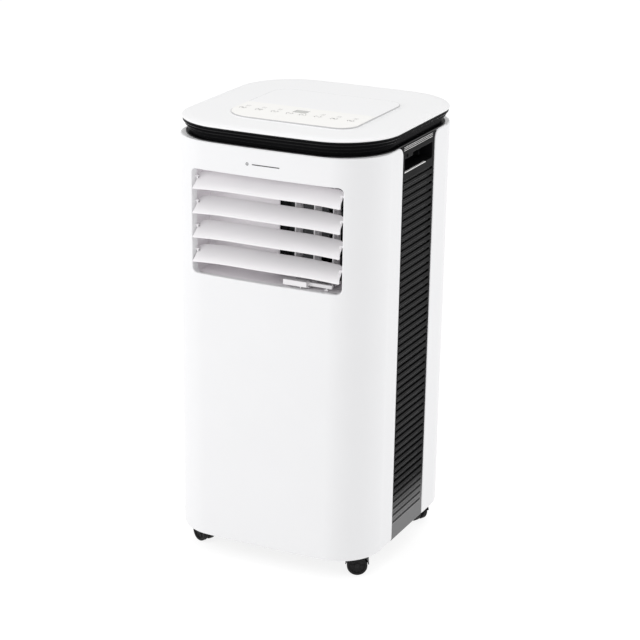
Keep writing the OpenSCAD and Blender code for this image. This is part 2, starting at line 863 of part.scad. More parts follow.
module evaporator_blower() {
    blower(evaporator_at[0], evaporator_at[1], scroll_y0 + 14, scroll_y1 - 14, evaporator_fan_r, 30);
}

module condenser_blower() {
    translate([0, lower_scroll_y0 + lower_scroll_y1, 0]) mirror([0, 1, 0])
        blower(condenser_at[0], condenser_at[1], lower_scroll_y0 + 14, lower_scroll_y1 - 14,
               condenser_fan_r, 24);
}

// Motor along Y: a can with a bearing hole and three arms that reach past the inlet.
module fan_motor(y, r, arm) {
    difference() {
        bar_y(0, 0, y, y + 40, r);
        bar_y(0, 0, y - past, y + 30, shaft_r + run_gap);
    }
    for (a = [90, 210, 330]) rotate([0, a, 0])
        block([r - 8, y + 1, -5], [arm, y + 5, 5]);
}

module fan_motors() {
    color("#55585c") {
        translate([evaporator_at[0], 0, evaporator_at[1]]) fan_motor(scroll_y1, 32, 70);
        translate([condenser_at[0], 0, condenser_at[1]])
            mirror([0, 1, 0]) fan_motor(-lower_scroll_y0, 30, 58);
    }
}

pipe_r = 4;
suction_x = 132;
suction_y = 100;

// A pipe run with round elbows through the given points.
module pipe_run(points) {
    for (i = [0 : len(points) - 2]) {
        a = points[i];
        b = points[i + 1];
        d = b - a;
        translate(a) rotate([0, acos(d[2] / norm(d)), atan2(d[1], d[0])])
            cylinder(h = norm(d), r = pipe_r, $fn = 24);
    }
    for (i = [1 : len(points) - 2]) translate(points[i]) sphere(pipe_r + 0.8, $fn = 24);
}

module refrigerant_pipes() {
    discharge_x = -100;
    color(copper) {
        pipe_run([[compressor_at[0], compressor_at[1], circuit_top - 4],
                  [compressor_at[0], compressor_at[1], circuit_top + 12],
                  [discharge_x, compressor_at[1], circuit_top + 12],
                  [discharge_x, 133, circuit_top + 26],
                  [discharge_x, 133, 264]]);
        pipe_run([[accumulator_at[0], accumulator_at[1], 210],
                  [accumulator_at[0], accumulator_at[1], 224],
                  [suction_x, -60, 224],
                  [suction_x, suction_y, 240],
                  [suction_x, suction_y, 470],
                  [120, suction_y, 470]]);
    }
}

// Closed box for the mains wiring, with the run capacitor on its side.
module electrics_box() {
    color("#d6d7d9") block([20, -150, 270], [140, -90, 410]);
    color(grey) translate([-10, -120, 280]) cylinder(h = 70, r = 20);
    color(grey) block([8, -130, 290], [21, -110, 330]);
}

base_pan();
front_shell();
rear_shell();
side_panel_left();
side_panel_right();
collar_ring();
top_lid();
control_panel();
display_window();
key_1();
key_2();
key_3();
key_4();
key_5();
key_6();
key_7();
key_8();
control_board();
outlet_frame();
louver_1();
louver_2();
louver_3();
louver_4();
louver_link();
vane_1();
vane_2();
vane_3();
vane_link();
upper_filter_frame();
upper_filter_mesh();
lower_filter_frame();
lower_filter_mesh();
exhaust_collar();
upper_drain_plug();
lower_drain_plug();
cord_inlet();
housing_screws();
caster_fork_1();
caster_fork_2();
caster_fork_3();
caster_fork_4();
caster_wheels_1();
caster_wheels_2();
caster_wheels_3();
caster_wheels_4();
compressor();
compressor_grommets();
condenser_coil();
evaporator_coil();
drip_tray();
evaporator_blower();
evaporator_scroll();
condenser_blower();
condenser_scroll();
fan_motors();
refrigerant_pipes();
electrics_box();
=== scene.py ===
"""Looks of a portable air conditioner on casters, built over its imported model.

Sizes in this script are in millimetres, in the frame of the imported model: X to the right,
the air outlet faces -Y, Z up, with the origin on the floor. Meshes are made in metres.
"""
import math

import bpy
import numpy as np
from mathutils import Matrix, Vector
from mathutils.geometry import delaunay_2d_cdt


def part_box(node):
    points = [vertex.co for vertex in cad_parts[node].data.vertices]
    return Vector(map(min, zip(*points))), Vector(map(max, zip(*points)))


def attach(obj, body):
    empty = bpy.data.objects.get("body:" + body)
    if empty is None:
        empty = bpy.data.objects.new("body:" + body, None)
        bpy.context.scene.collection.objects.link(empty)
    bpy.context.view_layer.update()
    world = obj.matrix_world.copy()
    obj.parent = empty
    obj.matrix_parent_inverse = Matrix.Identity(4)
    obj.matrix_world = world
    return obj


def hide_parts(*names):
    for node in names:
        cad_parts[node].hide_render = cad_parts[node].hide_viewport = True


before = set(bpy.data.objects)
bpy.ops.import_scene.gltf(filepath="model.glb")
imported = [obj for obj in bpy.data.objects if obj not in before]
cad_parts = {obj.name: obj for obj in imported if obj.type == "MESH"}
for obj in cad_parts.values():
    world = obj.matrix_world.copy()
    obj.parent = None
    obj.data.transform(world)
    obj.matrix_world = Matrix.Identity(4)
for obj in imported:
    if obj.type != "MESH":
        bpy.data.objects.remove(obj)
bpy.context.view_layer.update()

MM = 0.001


def box(node):
    """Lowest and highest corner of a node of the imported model."""
    low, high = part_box(node)
    return np.array(low) / MM, np.array(high) / MM


def round_node(node):
    """Middle of a round node of the back in X and Z, its radius, and its two ends in Y."""
    low, high = box(node)
    middle = (low + high) / 2
    return middle[0], middle[2], (high[0] - low[0]) / 2, low[1], high[1]


# ---- Measures ----

BOW = 7.2  # how far the middle of the front and of the back stands out
CORNER = 66.5  # radius of the cabinet's upright corners
LID_CORNER = 89.2
TAPER = 0.0000283  # share of its width that the cabinet loses per millimetre below its top
WALL = 2.5

body_low, body_high = box("front_shell")
BODY_X = body_high[0]
BODY_Y = -body_low[1] - BOW
BODY_Z0 = body_low[2]
BODY_Z1 = body_high[2]
SEAM_Y = 60.0  # the seams between the housings and the side panels
SEAM_GAP = 0.4

lid_low, lid_high = box("top_lid")
LID_Z0 = lid_low[2]
LID_TOP = LID_Z0 + 5.0
LID_X = lid_high[0]
LID_Y = lid_high[1] - BOW
ISLAND_X0, ISLAND_X1 = -103.5, 112.3
ISLAND_FRONT = -121.5
ISLAND_BACK = 80.0
ISLAND_TOP = lid_high[2]
OVERLAY_BACK = -30.0
OVERLAY_TOP = box("control_panel")[1][2]

duct_low, duct_high = box("outlet_frame")
DUCT_WALL = 3.0
OUTLET_X = duct_high[0] - 0.7
OUTLET_Z0 = duct_low[2] + DUCT_WALL
OUTLET_Z1 = duct_high[2] - DUCT_WALL


def unit(v):
    """Vectors, one a row, at length one."""
    return v / np.maximum(np.linalg.norm(v, axis=-1, keepdims=True), 1e-12)


# ---- Mesh tools ----

def add_object(name, data):
    """Makes an object in the scene."""
    new = bpy.data.objects.new(name, data)
    bpy.context.scene.collection.objects.link(new)
    return new


class Shape:
    """Points, faces and corner normals of one piece."""

    def __init__(self):
        self.points = []
        self.count = 0
        self.faces = []

    def add(self, points):
        """Takes points and gives their numbers."""
        points = np.asarray(points, float).reshape(-1, 3)
        first = self.count
        self.points.append(points)
        self.count += len(points)
        return np.arange(first, self.count)

    def face(self, corners, normals, slot=0):
        """Takes a face: its points' numbers and normals, and its material slot."""
        self.faces.append((corners, normals, slot))

    def strip(self, lower, upper, slot=0):
        """Quads between two closed rows of (numbers, normals).

        They face out where the upper row is on the left of the lower one.
        """
        (low, low_out), (high, high_out) = lower, upper
        for i in range(len(low)):
            j = (i + 1) % len(low)
            self.face((low[i], low[j], high[j], high[i]),
                      (low_out[i], low_out[j], high_out[j], high_out[i]), slot)

    def build(self, name, materials, replaces=(), body="cabinet"):
        """Makes the piece, with points in the same place joined, and has it ride on a body."""
        points = np.vstack(self.points)
        _, keep, number = np.unique(np.round(points, 4), axis=0,
                                    return_index=True, return_inverse=True)
        number = number.ravel()
        faces = []
        corner_normals = []
        face_slots = []
        for corners, normals, slot in self.faces:
            joined = [number[c] for c in corners]
            kept = [i for i, c in enumerate(joined) if c != joined[i - 1]]
            if len({joined[i] for i in kept}) < 3:
                continue
            faces.append([int(joined[i]) for i in kept])
            corner_normals.extend(normals[i] for i in kept)
            face_slots.append(slot)
        mesh = bpy.data.meshes.new(name)
        mesh.from_pydata(points[keep] * MM, [], faces)
        for material in materials:
            mesh.materials.append(material)
        mesh.polygons.foreach_set("material_index", face_slots)
        mesh.shade_smooth()
        mesh.normals_split_custom_set(corner_normals)
        mesh.update()
        piece = add_object(name, mesh)
        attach(piece, body)
        if replaces:
            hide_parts(*replaces)


def rounded(u0, u1, v0, v1, radii, steps=8):
    """Rounded rectangle, counter-clockwise from its lower right corner.

    radii is one radius, or those of the lower right, upper right, upper left and lower
    left corners.
    """
    r = np.broadcast_to(np.asarray(radii, float), 4)
    centres = [(u1 - r[0], v0 + r[0], -90), (u1 - r[1], v1 - r[1], 0),
               (u0 + r[2], v1 - r[2], 90), (u0 + r[3], v0 + r[3], 180)]
    points = []
    for (u, v, start), radius in zip(centres, r):
        for a in np.radians(np.linspace(start, start + 90, steps + 1)):
            points.append((u + radius * math.cos(a), v + radius * math.sin(a)))
    return np.array(points)


def circle(u, v, r, steps=32):
    """Circle, counter-clockwise."""
    a = np.linspace(0, 2 * math.pi, steps, endpoint=False)
    return np.column_stack([u + r * np.cos(a), v + r * np.sin(a)])


def refined(points, step_u, step_v=None):
    """A closed loop with no segment longer than the steps."""
    step_v = step_v or step_u
    out = []
    for a, b in zip(points, np.roll(points, -1, axis=0)):
        parts = max(1, math.ceil(max(abs(b[0] - a[0]) / step_u, abs(b[1] - a[1]) / step_v)))
        for k in range(parts):
            out.append(a + (b - a) * k / parts)
    return np.array(out)


def inward(loop):
    """Direction to the left of a closed loop at each point, and its miter length."""
    before = unit(loop - np.roll(loop, 1, axis=0))
    after = unit(np.roll(loop, -1, axis=0) - loop)
    left_before = np.column_stack([-before[:, 1], before[:, 0]])
    left_after = np.column_stack([-after[:, 1], after[:, 0]])
    middle = unit(left_before + left_after)
    return middle, 1 / np.maximum(0.5, (middle * left_before).sum(1))


def is_inside(points, loops):
    """Even-odd test of points against closed loops."""
    odd = np.zeros(len(points), bool)
    px, py = points[:, 0:1], points[:, 1:2]
    for loop in loops:
        after = np.roll(loop, -1, axis=0)
        x0, y0, x1, y1 = loop[:, 0], loop[:, 1], after[:, 0], after[:, 1]
        crosses = (y0 > py) != (y1 > py)
        slope = (x1 - x0) / np.where(y1 == y0, 1e-12, y1 - y0)
        odd ^= (np.sum(crosses & (px < x0 + slope * (py - y0)), axis=1) % 2).astype(bool)
    return odd


def far_from(points, loops, margin):
    """Whether points are at least a margin away from the loops."""
    far = np.ones(len(points), bool)
    for loop in loops:
        a = loop[None]
        d = np.roll(loop, -1, axis=0)[None] - a
        q = points[:, None] - a
        t = np.clip((q * d).sum(2) / np.maximum((d * d).sum(2), 1e-12), 0, 1)
        far &= np.linalg.norm(q - t[..., None] * d, axis=2).min(1) > margin
    return far


GRID_MARGIN = 1.5


def fill(loops, grid):
    """Triangles inside closed loops, over the loops' points and a grid between them.

    Gives the grid points used and the triangles' numbers, counted through the loops' points
    and then the grid points.
    """
    spare = np.zeros((0, 2))
    if grid is not None:
        u, v = np.meshgrid(*grid)
        spare = np.column_stack([u.ravel(), v.ravel()])
        spare = spare[is_inside(spare, loops)]
        spare = spare[far_from(spare, loops, GRID_MARGIN)]
    points = np.vstack([*loops, spare])
    edges = []
    first = 0
    for loop in loops:
        n = len(loop)
        edges += [(first + i, first + (i + 1) % n) for i in range(n)]
        first += n
    made = delaunay_2d_cdt([Vector(p) for p in points], edges, [], 0, 1e-7)
    places, triangles, origin = made[0], made[2], made[3]
    places = np.array([tuple(p) for p in places])
    middles = np.array([places[list(t)].mean(0) for t in triangles])
    kept = is_inside(middles, loops)
    out = []
    for triangle, keep in zip(triangles, kept):
        if keep:
            out.append([origin[c][0] for c in triangle])
    return spare, out


def bend(end, steps):
    """Fillet in the cross-section of an edge, up to a tilt of its normal.

    A row is (distance per fillet, distance, depth per fillet, depth, tilt of the normal).
    """
    return [(1 - math.sin(a), 0, 1 - math.cos(a), 0, a) for a in np.linspace(0, end, steps + 1)]


def edge(wall, flange=0.0, flange_t=2.0, steps=4):
    """Cross-section of an edge: a fillet, the side, and a flange if it is deeper than the wall."""
    side = max(wall, flange)
    runs = [bend(math.pi / 2, steps) + [(0, 0, 0, side, math.pi / 2)]]
    if flange:
        runs.append([(0, 0, 0, side, math.pi), (0, flange_t, 0, side, math.pi)])
        runs.append([(0, flange_t, 0, side, 1.5 * math.pi), (0, flange_t, 0, wall, 1.5 * math.pi)])
    return runs


PROBE = 0.05  # distance over which the directions of a surface are measured


def skin(shape, place, loops, wall, grid=None, slot=0, edge_slot=None):
    """Adds a wall over a region of a surface.

    place(points, depths) gives the surface at a depth under its face; loops are
    (points, section, fillet), each with the material on its left. edge_slot is the material
    slot of the rounded edges.
    """
    edge_slot = slot if edge_slot is None else edge_slot

    def normals_at(points):
        deep = np.full(len(points), PROBE)
        return unit(place(points, -deep) - place(points, deep))

    outer_loops, inner_loops = [], []
    outer_numbers, inner_numbers = [], []
    for points, section, size in loops:
        size = np.broadcast_to(np.asarray(size, float), len(points))
        direction, miter = inward(points)
        zero = np.zeros(len(points))
        out = normals_at(points)
        ahead, behind = points + direction * PROBE, points - direction * PROBE
        along = unit(place(ahead, zero) - place(behind, zero))
        previous = None
        last_tilt = 0.0
        for run in section:
            for k, (a, b, c, e, tilt) in enumerate(run):
                flat = points + direction * (miter * (a * size + b))[:, None]
                normals = out * math.cos(tilt) - along * math.sin(tilt)
                if k == 0 and previous is not None:
                    numbers = previous[0]
                else:
                    numbers = shape.add(place(flat, c * size + e))
                if previous is None:
                    outer_loops.append(flat)
                    outer_numbers.append(numbers)
                elif k > 0:
                    rounding = run is section[0] and last_tilt < math.pi / 2
                    shape.strip((numbers, normals), previous, edge_slot if rounding else slot)
                previous = (numbers, normals)
                last_tilt = tilt
        inner_loops.append(flat)
        inner_numbers.append(previous[0])
    for face_loops, numbers, depth, turned in ((outer_loops, outer_numbers, 0.0, False),
                                               (inner_loops, inner_numbers, wall, True)):
        spare, triangles = fill(face_loops, grid)
        if len(spare):
            numbers = numbers + [shape.add(place(spare, np.full(len(spare), depth)))]
        flat = np.vstack([*face_loops, spare])
        normals = normals_at(flat) * (-1 if turned else 1)
        numbers = np.concatenate(numbers)
        for triangle in triangles:
            corners = triangle[::-1] if turned else triangle
            shape.face(numbers[corners], normals[corners], slot)


def run_normals(run):
    """Normals to the right of a line, at each of its points."""
    run = np.asarray(run, float)
    step = unit(np.diff(run, axis=0))
    ends = np.vstack([step[:1], step, step[-1:]])
    tangent = unit(ends[:-1] + ends[1:])
    return np.column_stack([tangent[:, 1], -tangent[:, 0]])


AXES_Z = np.eye(3)
AXES_Y = np.array([[1, 0, 0], [0, 0, 1], [0, -1, 0]], float)
AXES_X = np.array([[0, 0, 1], [1, 0, 0], [0, 1, 0]], float)
UP = AXES_Z[2]


def turned(degrees):
    """Turn about the third axis."""
    a = math.radians(degrees)
    return np.array([[math.cos(a), -math.sin(a), 0], [math.sin(a), math.cos(a), 0], [0, 0, 1]])


def sweep(shape, runs, place, turn, slot=0):
    """Joins the closed rings that the points of each line make.

    place(a, b) gives a ring's points and turn(a, b) its normals, from a point of a line and
    the line's normal there.
    """
    for run in runs:
        previous = None
        for at, out in zip(run, run_normals(run)):
            ring = (shape.add(place(*at)), turn(*out))
            if previous is not None:
                shape.strip(previous, ring, slot)
            previous = ring


def lathe(shape, runs, origin=(0, 0, 0), axes=AXES_Z, steps=48):
    """Turns lines of (radius, height) round an axis. The height grows on the outside."""
    a = np.linspace(0, 2 * math.pi, steps, endpoint=False)
    out = np.column_stack([np.cos(a), np.sin(a), np.zeros(steps)])

    def place(r, height):
        return (out * r + UP * height) @ axes.T + np.array(origin)

    def turn(nr, nz):
        return (out * nr + UP * nz) @ axes.T
    sweep(shape, runs, place, turn)


def rod(shape, r, h0, h1, origin, axes):
    """Round bar with flat ends, along the third axis."""
    runs = [[(0, h0), (r, h0)], [(r, h0), (r, h1)], [(r, h1), (0, h1)]]
    lathe(shape, runs, origin, axes, steps=20)


def block(shape, low, high, r, axes=AXES_Z, origin=(0, 0, 0), slot=0, steps=2):
    """Adds a box with rounded edges between two opposite corners."""
    low, high = np.minimum(low, high).astype(float), np.maximum(low, high).astype(float)
    r = min(r, 0.499 * (high - low).min())
    bends = r * np.tan(np.linspace(math.pi / 4, 0, steps + 1))
    for axis in range(3):
        u, v = (axis + 1) % 3, (axis + 2) % 3
        lines = [np.concatenate([low[k] + r - bends, (high[k] - r + bends)[::-1]]) for k in (u, v)]
        for side in (0, 1):
            grid_u, grid_v = np.meshgrid(*lines, indexing="ij")
            points = np.zeros((grid_u.size, 3))
            points[:, u] = grid_u.ravel()
            points[:, v] = grid_v.ravel()
            points[:, axis] = high[axis] if side else low[axis]
            core = np.clip(points, low + r, high - r)
            normals = unit(points - core)
            numbers = shape.add((core + r * normals) @ axes.T + np.array(origin))
            normals = normals @ axes.T
            n_u, n_v = grid_u.shape
            for i in range(n_u - 1):
                for j in range(n_v - 1):
                    first = i * n_v + j
                    corners = [first, first + n_v, first + n_v + 1, first + 1]
                    if not side:
                        corners.reverse()
                    shape.face(numbers[corners], normals[corners], slot)


class Plan:
    """Outline seen from above: a rounded rectangle whose front and back bow out.

    It is walked counter-clockwise from the middle of the left side, past the front.
    """

    def __init__(self, half_x, half_y, radius):
        x, y = half_x - radius, half_y - radius
        corners = [(-x, -y, 180), (x, -y, 270), (x, y, 0), (-x, y, 90)]
        points = [(-half_x, 0.0)]
        for cx, cy, start in corners:
            for a in np.radians(np.linspace(start, start + 90, 61)):
                points.append((cx + radius * math.cos(a), cy + radius * math.sin(a)))
        points = refined(np.array(points), 1.0)
        rise = BOW * (1 - (points[:, 0] / half_x) ** 2) * np.minimum(1, abs(points[:, 1]) / half_y)
        points[:, 1] += np.sign(points[:, 1]) * rise
        tangent = unit(np.roll(points, -1, axis=0) - np.roll(points, 1, axis=0))
        normals = np.column_stack([tangent[:, 1], -tangent[:, 0]])
        lengths = np.linalg.norm(np.roll(points, -1, axis=0) - points, axis=1)
        self.run = np.concatenate([[0], np.cumsum(lengths)])
        self.length = self.run[-1]
        self.points = np.vstack([points, points[:1]])
        self.normals = np.vstack([normals, normals[:1]])

    def at(self, s):
        """Point and outward normal at a distance along the outline."""
        s = np.mod(s, self.length)
        point = np.column_stack([np.interp(s, self.run, self.points[:, k]) for k in (0, 1)])
        normal = np.column_stack([np.interp(s, self.run, self.normals[:, k]) for k in (0, 1)])
        return point, unit(normal)

    def across(self, x, side):
        """Distance along the outline of a place across the front (side -1) or the back (1)."""
        half = side * self.points[:, 1] > SEAM_Y
        return np.interp(x, self.points[half, 0][::-side], self.run[half][::-side])

    def side(self, y, right):
        """Distance along the outline of a place along the right or the left side."""
        if right:
            half = self.points[:, 0] > 0.9 * self.points[:, 0].max()
            return np.interp(y, self.points[half, 1], self.run[half])
        return np.mod(-y, self.length)


cabinet = Plan(BODY_X, BODY_Y, CORNER)
lid_plan = Plan(LID_X, LID_Y, LID_CORNER)


def narrowing(z):
    """Share of its full width that the cabinet has at a height."""
    return 1 - TAPER * (BODY_Z1 - z)


def on_cabinet(p, depth):
    """Place on the tapered cabinet: along its outline, height, and depth under the face."""
    point, normal = cabinet.at(p[:, 0])
    xy = point * narrowing(p[:, 1])[:, None] - normal * depth[:, None]
    return np.column_stack([xy, p[:, 1]])


def plane(origin, u, v):
    """Flat surface through a point: place in the plane and depth under it."""
    origin, u, v = (np.array(a, float) for a in (origin, u, v))
    out = np.cross(u, v)

    def place(p, depth):
        return origin + p[:, 0:1] * u + p[:, 1:2] * v - depth[:, None] * out
    return place


def level(z):
    """Level surface at a height."""
    return plane((0, 0, z), (1, 0, 0), (0, 1, 0))


def upright(y):
    """Upright surface that faces the front."""
    return plane((0, y, 0), (1, 0, 0), (0, 0, 1))


def band(shape, plan, runs, slot=0):
    """Closed band round a plan from lines of (inset, height). The height grows outside."""
    steps = 300
    point, normal = plan.at(np.linspace(0, plan.length, steps, endpoint=False))
    out = np.column_stack([normal, np.zeros(steps)])

    def place(reach, z):
        return np.column_stack([point + normal * reach, np.full(steps, z)])

    def turn(nr, nz):
        return out * nr + UP * nz
    sweep(shape, [[(-inset, z) for inset, z in run] for run in runs], place, turn, slot)


def wound(loop, clockwise=False):
    """The loop, walked counter-clockwise or clockwise."""
    after = np.roll(loop, -1, axis=0)
    area = np.sum(loop[:, 0] * after[:, 1] - after[:, 0] * loop[:, 1])
    return loop[::-1] if (area > 0) == clockwise else loop


def hole(loop):
    """The loop, walked as the edge of a hole."""
    return wound(loop, clockwise=True)


def softened(points, r, steps=4):
    """A polygon with each corner rounded."""
    points = np.asarray(points, float)
    out = []
    for before, at, after in zip(np.roll(points, 1, axis=0), points, np.roll(points, -1, axis=0)):
        a = at + unit(before - at) * r
        b = at + unit(after - at) * r
        for t in np.linspace(0, 1, steps + 1):
            out.append((1 - t) ** 2 * a + 2 * t * (1 - t) * at + t ** 2 * b)
    return np.array(out)


def profile(*lines):
    """Cross-section of an edge from lines of (distance from the loop, depth)."""
    runs = []
    for line in lines:
        tilts = [math.atan2(-n[0], -n[1]) for n in run_normals([(-d, -h) for d, h in line])]
        runs.append([(0, d, 0, h, tilt) for (d, h), tilt in zip(line, tilts)])
    return runs


# ---- Materials ----

FLOOR_REFLECTION_Z0, FLOOR_REFLECTION_Z1 = 62, 116  # painted reflection of the floor on the side panels, fading out between these heights
DUST_Z1 = 90
DUST_COLOR = (0.42, 0.40, 0.37)
DRIFT_SIZE, SMUDGE_SIZE, DUST_SIZE = 90, 28, 7


class Look:
    """A new material and the nodes that feed its surface."""

    def __init__(self, name):
        self.material = bpy.data.materials.new(name)
        self.material.use_nodes = True
        self.tree = self.material.node_tree

    def feed(self, node, inputs):
        """Sets inputs of a node: each takes a value or the output of another node."""
        for key, value in inputs.items():
            if isinstance(value, bpy.types.NodeSocket):
                self.tree.links.new(value, node.inputs[key])
            else:
                node.inputs[key].default_value = value

    def surface(self, inputs):
        """Sets inputs of the surface."""
        self.feed(self.tree.nodes["Principled BSDF"], inputs)

    def node(self, kind, output, inputs):
        """Adds a node and gives one of its outputs."""
        node = self.tree.nodes.new("ShaderNode" + kind)
        self.feed(node, inputs)
        return node.outputs[output]

    def remap(self, value, low, high, start=0.3, end=0.7):
        """A value that runs from start to end, made to run from low to high."""
        return self.node("MapRange", "Result", {"Value": value, "From Min": start,
                                                "From Max": end, "To Min": low, "To Max": high})

    def blended(self, base, other, factor):
        """Blend of a colour or an output with a colour."""
        mix = self.tree.nodes.new("ShaderNodeMix")
        mix.data_type = "RGBA"
        self.feed(mix, {"A": base, "B": (*other, 1), "Factor": factor})
        return mix.outputs["Result"]

    def combined(self, operation, first, second):
        """Result of an arithmetic operation on two outputs."""
        node = self.tree.nodes.new("ShaderNodeMath")
        node.operation = operation
        self.feed(node, {0: first, 1: second})
        return node.outputs["Value"]


def finish(name, color, roughness, grain, relief, mottle, smudge=0.06, metallic=0.0, coat=0.0,
           dust=0.0, floor_reflection=None, specular=0.5, grain_stretch=(1, 1, 1)):
    """Moulded or rolled surface: a fine grain, uneven gloss, slight colour drift and dust.

    grain is the size of the grain and relief its height, in millimetres. mottle is the share
    by which the colour drifts, and smudge the amount by which the roughness does. The paler
    colour that the surface may take on towards its lower end is a painted reflection of the floor.
    """
    look = Look(name)
    place = look.node("TexCoord", "Object", {})

    def noise(size, detail, stretch=(1, 1, 1)):
        scale = [k / (size * MM) for k in stretch]
        scaled = look.node("Mapping", "Vector", {"Vector": place, "Scale": scale})
        return look.node("TexNoise", "Fac", {"Vector": scaled, "Scale": 1.0, "Detail": detail})

    def below(z_full, z_none, strength):
        """Full strength up to one height, falling to nothing at a greater one."""
        height = look.node("SeparateXYZ", "Z", {"Vector": place})
        return look.remap(height, 0, strength, z_none * MM, z_full * MM)

    darker = [c * (1 - mottle) for c in color]
    paler = [min(1, c * (1 + mottle)) for c in color]
    tint = look.blended((*darker, 1), paler, look.remap(noise(DRIFT_SIZE, 3), 0, 1))
    # Painted reflection of the floor: the colour pales towards the lower end.
    if floor_reflection:
        tint = look.blended(tint, floor_reflection, below(FLOOR_REFLECTION_Z0, FLOOR_REFLECTION_Z1, 1))
    if dust:
        patches = look.remap(noise(DUST_SIZE, 4), 0.2, 1)
        patchy = look.combined("MULTIPLY", below(0, DUST_Z1, dust), patches)
        tint = look.blended(tint, DUST_COLOR, patchy)
    uneven = look.remap(noise(SMUDGE_SIZE, 4), roughness - smudge / 2, roughness + smudge / 2)
    bump = look.node("Bump", "Normal", {"Height": noise(grain, 2, grain_stretch),
                                        "Strength": 1.0, "Distance": relief * MM})
    look.surface({"Base Color": tint, "Roughness": uneven, "Normal": bump,
                  "Metallic": metallic, "Specular IOR Level": specular,
                  "Coat Weight": coat, "Coat Roughness": 0.12})
    return look.material


# name, colour, roughness, grain, relief, mottle, and what else the finish has
shell_white = finish("shell_white", (0.80, 0.80, 0.81), 0.30, 2.4, 0.0015, 0.006, smudge=0.01,
                     dust=0.02)
lid_white = finish("lid_white", (0.82, 0.82, 0.825), 0.30, 2.4, 0.0008, 0.004, smudge=0.01)
# Grey painted shade for the island's rounded sides and the rims of its wells.
island_edge_shade = finish("island_edge_shade", (0.50, 0.50, 0.505), 0.26, 2.4, 0.0015, 0.005)
louver_white = finish("louver_white", (0.80, 0.785, 0.80), 0.42, 1.8, 0.002, 0.01)
# Paler than the housing's white: painted light against the shade inside the duct.
duct_white_lightened = finish("duct_white_lightened", (0.93, 0.90, 0.925), 0.5, 0.8, 0.01, 0.02)
overlay_cream = finish("overlay_cream", (0.85, 0.842, 0.822), 0.42, 0.35, 0.006, 0.006)
key_cream = finish("key_cream", (0.84, 0.832, 0.812), 0.38, 0.4, 0.004, 0.006)
mark_grey = finish("mark_grey", (0.26, 0.26, 0.25), 0.5, 0.3, 0.002, 0.03)
badge_grey = finish("badge_grey", (0.055, 0.055, 0.06), 0.35, 0.3, 0.002, 0.05)
display_grey = finish("display_grey", (0.48, 0.48, 0.46), 0.18, 0.5, 0.001, 0.03, coat=0.3)
panel_black = finish("panel_black", (0.0075, 0.0075, 0.008), 0.38, 0.5, 0.012, 0.15, smudge=0.1,
                     dust=0.01, specular=0.02)
# Side panel black, with a painted reflection of the floor towards its lower end.
slat_black = finish("slat_black", (0.0075, 0.0075, 0.008), 0.38, 0.5, 0.012, 0.15, smudge=0.1,
                    dust=0.01, floor_reflection=(0.19, 0.19, 0.192), specular=0.02)
# Slightly paler black for the rounded edges of the slots and grip: a painted highlight, with the
# painted reflection of the floor low down.
panel_edge_highlight = finish("panel_edge_highlight", (0.010, 0.010, 0.0105), 0.25, 0.5, 0.004, 0.15, smudge=0.08,
                    floor_reflection=(0.28, 0.28, 0.282), specular=0.05)
# Paler black for the ridges between the slots: a painted highlight line on real ridges, with the
# painted floor reflection low down.
ridge_highlight_black = finish("ridge_highlight_black", (0.024, 0.024, 0.0245), 0.3, 0.5, 0.004, 0.12, smudge=0.08,
                     floor_reflection=(0.19, 0.19, 0.192), specular=0.1)
# White for painted highlights on the black side panels.
gleam = finish("gleam", (0.82, 0.81, 0.80), 0.12, 1.5, 0.002, 0.05, smudge=0.04, coat=0.6)
gloss_black = finish("gloss_black", (0.005, 0.005, 0.0055), 0.16, 1.5, 0.003, 0.1, smudge=0.05,
                     specular=0.01)
# Paler gloss black for the collar's rounded ledges: painted highlight lines.
gloss_edge_highlight = finish("gloss_edge_highlight", (0.016, 0.016, 0.0165), 0.10, 1.5, 0.002, 0.1, smudge=0.04,
                    coat=0.3, specular=0.1)
# Dark net sheet behind the side slots; its darkness is painted shade of the cabinet's inside.
net_shade_black = finish("net_shade_black", (0.024, 0.024, 0.024), 0.8, 1.2, 0.2, 0.3)
wheel_black = finish("wheel_black", (0.012, 0.012, 0.0125), 0.42, 0.6, 0.02, 0.15, smudge=0.14,
                     dust=0.03, specular=0.08)
rubber_black = finish("rubber_black", (0.015, 0.015, 0.015), 0.7, 0.4, 0.02, 0.15)
screw_steel = finish("screw_steel", (0.50, 0.50, 0.51), 0.34, 0.3, 0.006, 0.08, metallic=1.0)
board_green = finish("board_green", (0.03, 0.14, 0.05), 0.45, 1.5, 0.02, 0.15)
paint_black = finish("paint_black", (0.014, 0.015, 0.017), 0.4, 1.6, 0.03, 0.2, smudge=0.15)
fin_aluminium = finish("fin_aluminium", (0.55, 0.56, 0.58), 0.45, 1.4, 0.5, 0.08, metallic=0.9,
                       grain_stretch=(1, 0.02, 0.02))
duct_grey = finish("duct_grey", (0.62, 0.62, 0.64), 0.55, 0.9, 0.02, 0.04)
fan_grey = finish("fan_grey", (0.035, 0.037, 0.04), 0.5, 0.7, 0.02, 0.12)
scroll_grey = finish("scroll_grey", (0.004, 0.004, 0.005), 0.6, 1.0, 0.03, 0.12, specular=0.1)
motor_steel = finish("motor_steel", (0.30, 0.31, 0.32), 0.42, 0.8, 0.03, 0.1, metallic=0.8)
pipe_copper = finish("pipe_copper", (0.62, 0.28, 0.14), 0.3, 2.0, 0.02, 0.14, metallic=1.0)


WAVE_BAND = 0.314  # width of a band of the wave texture at scale 1


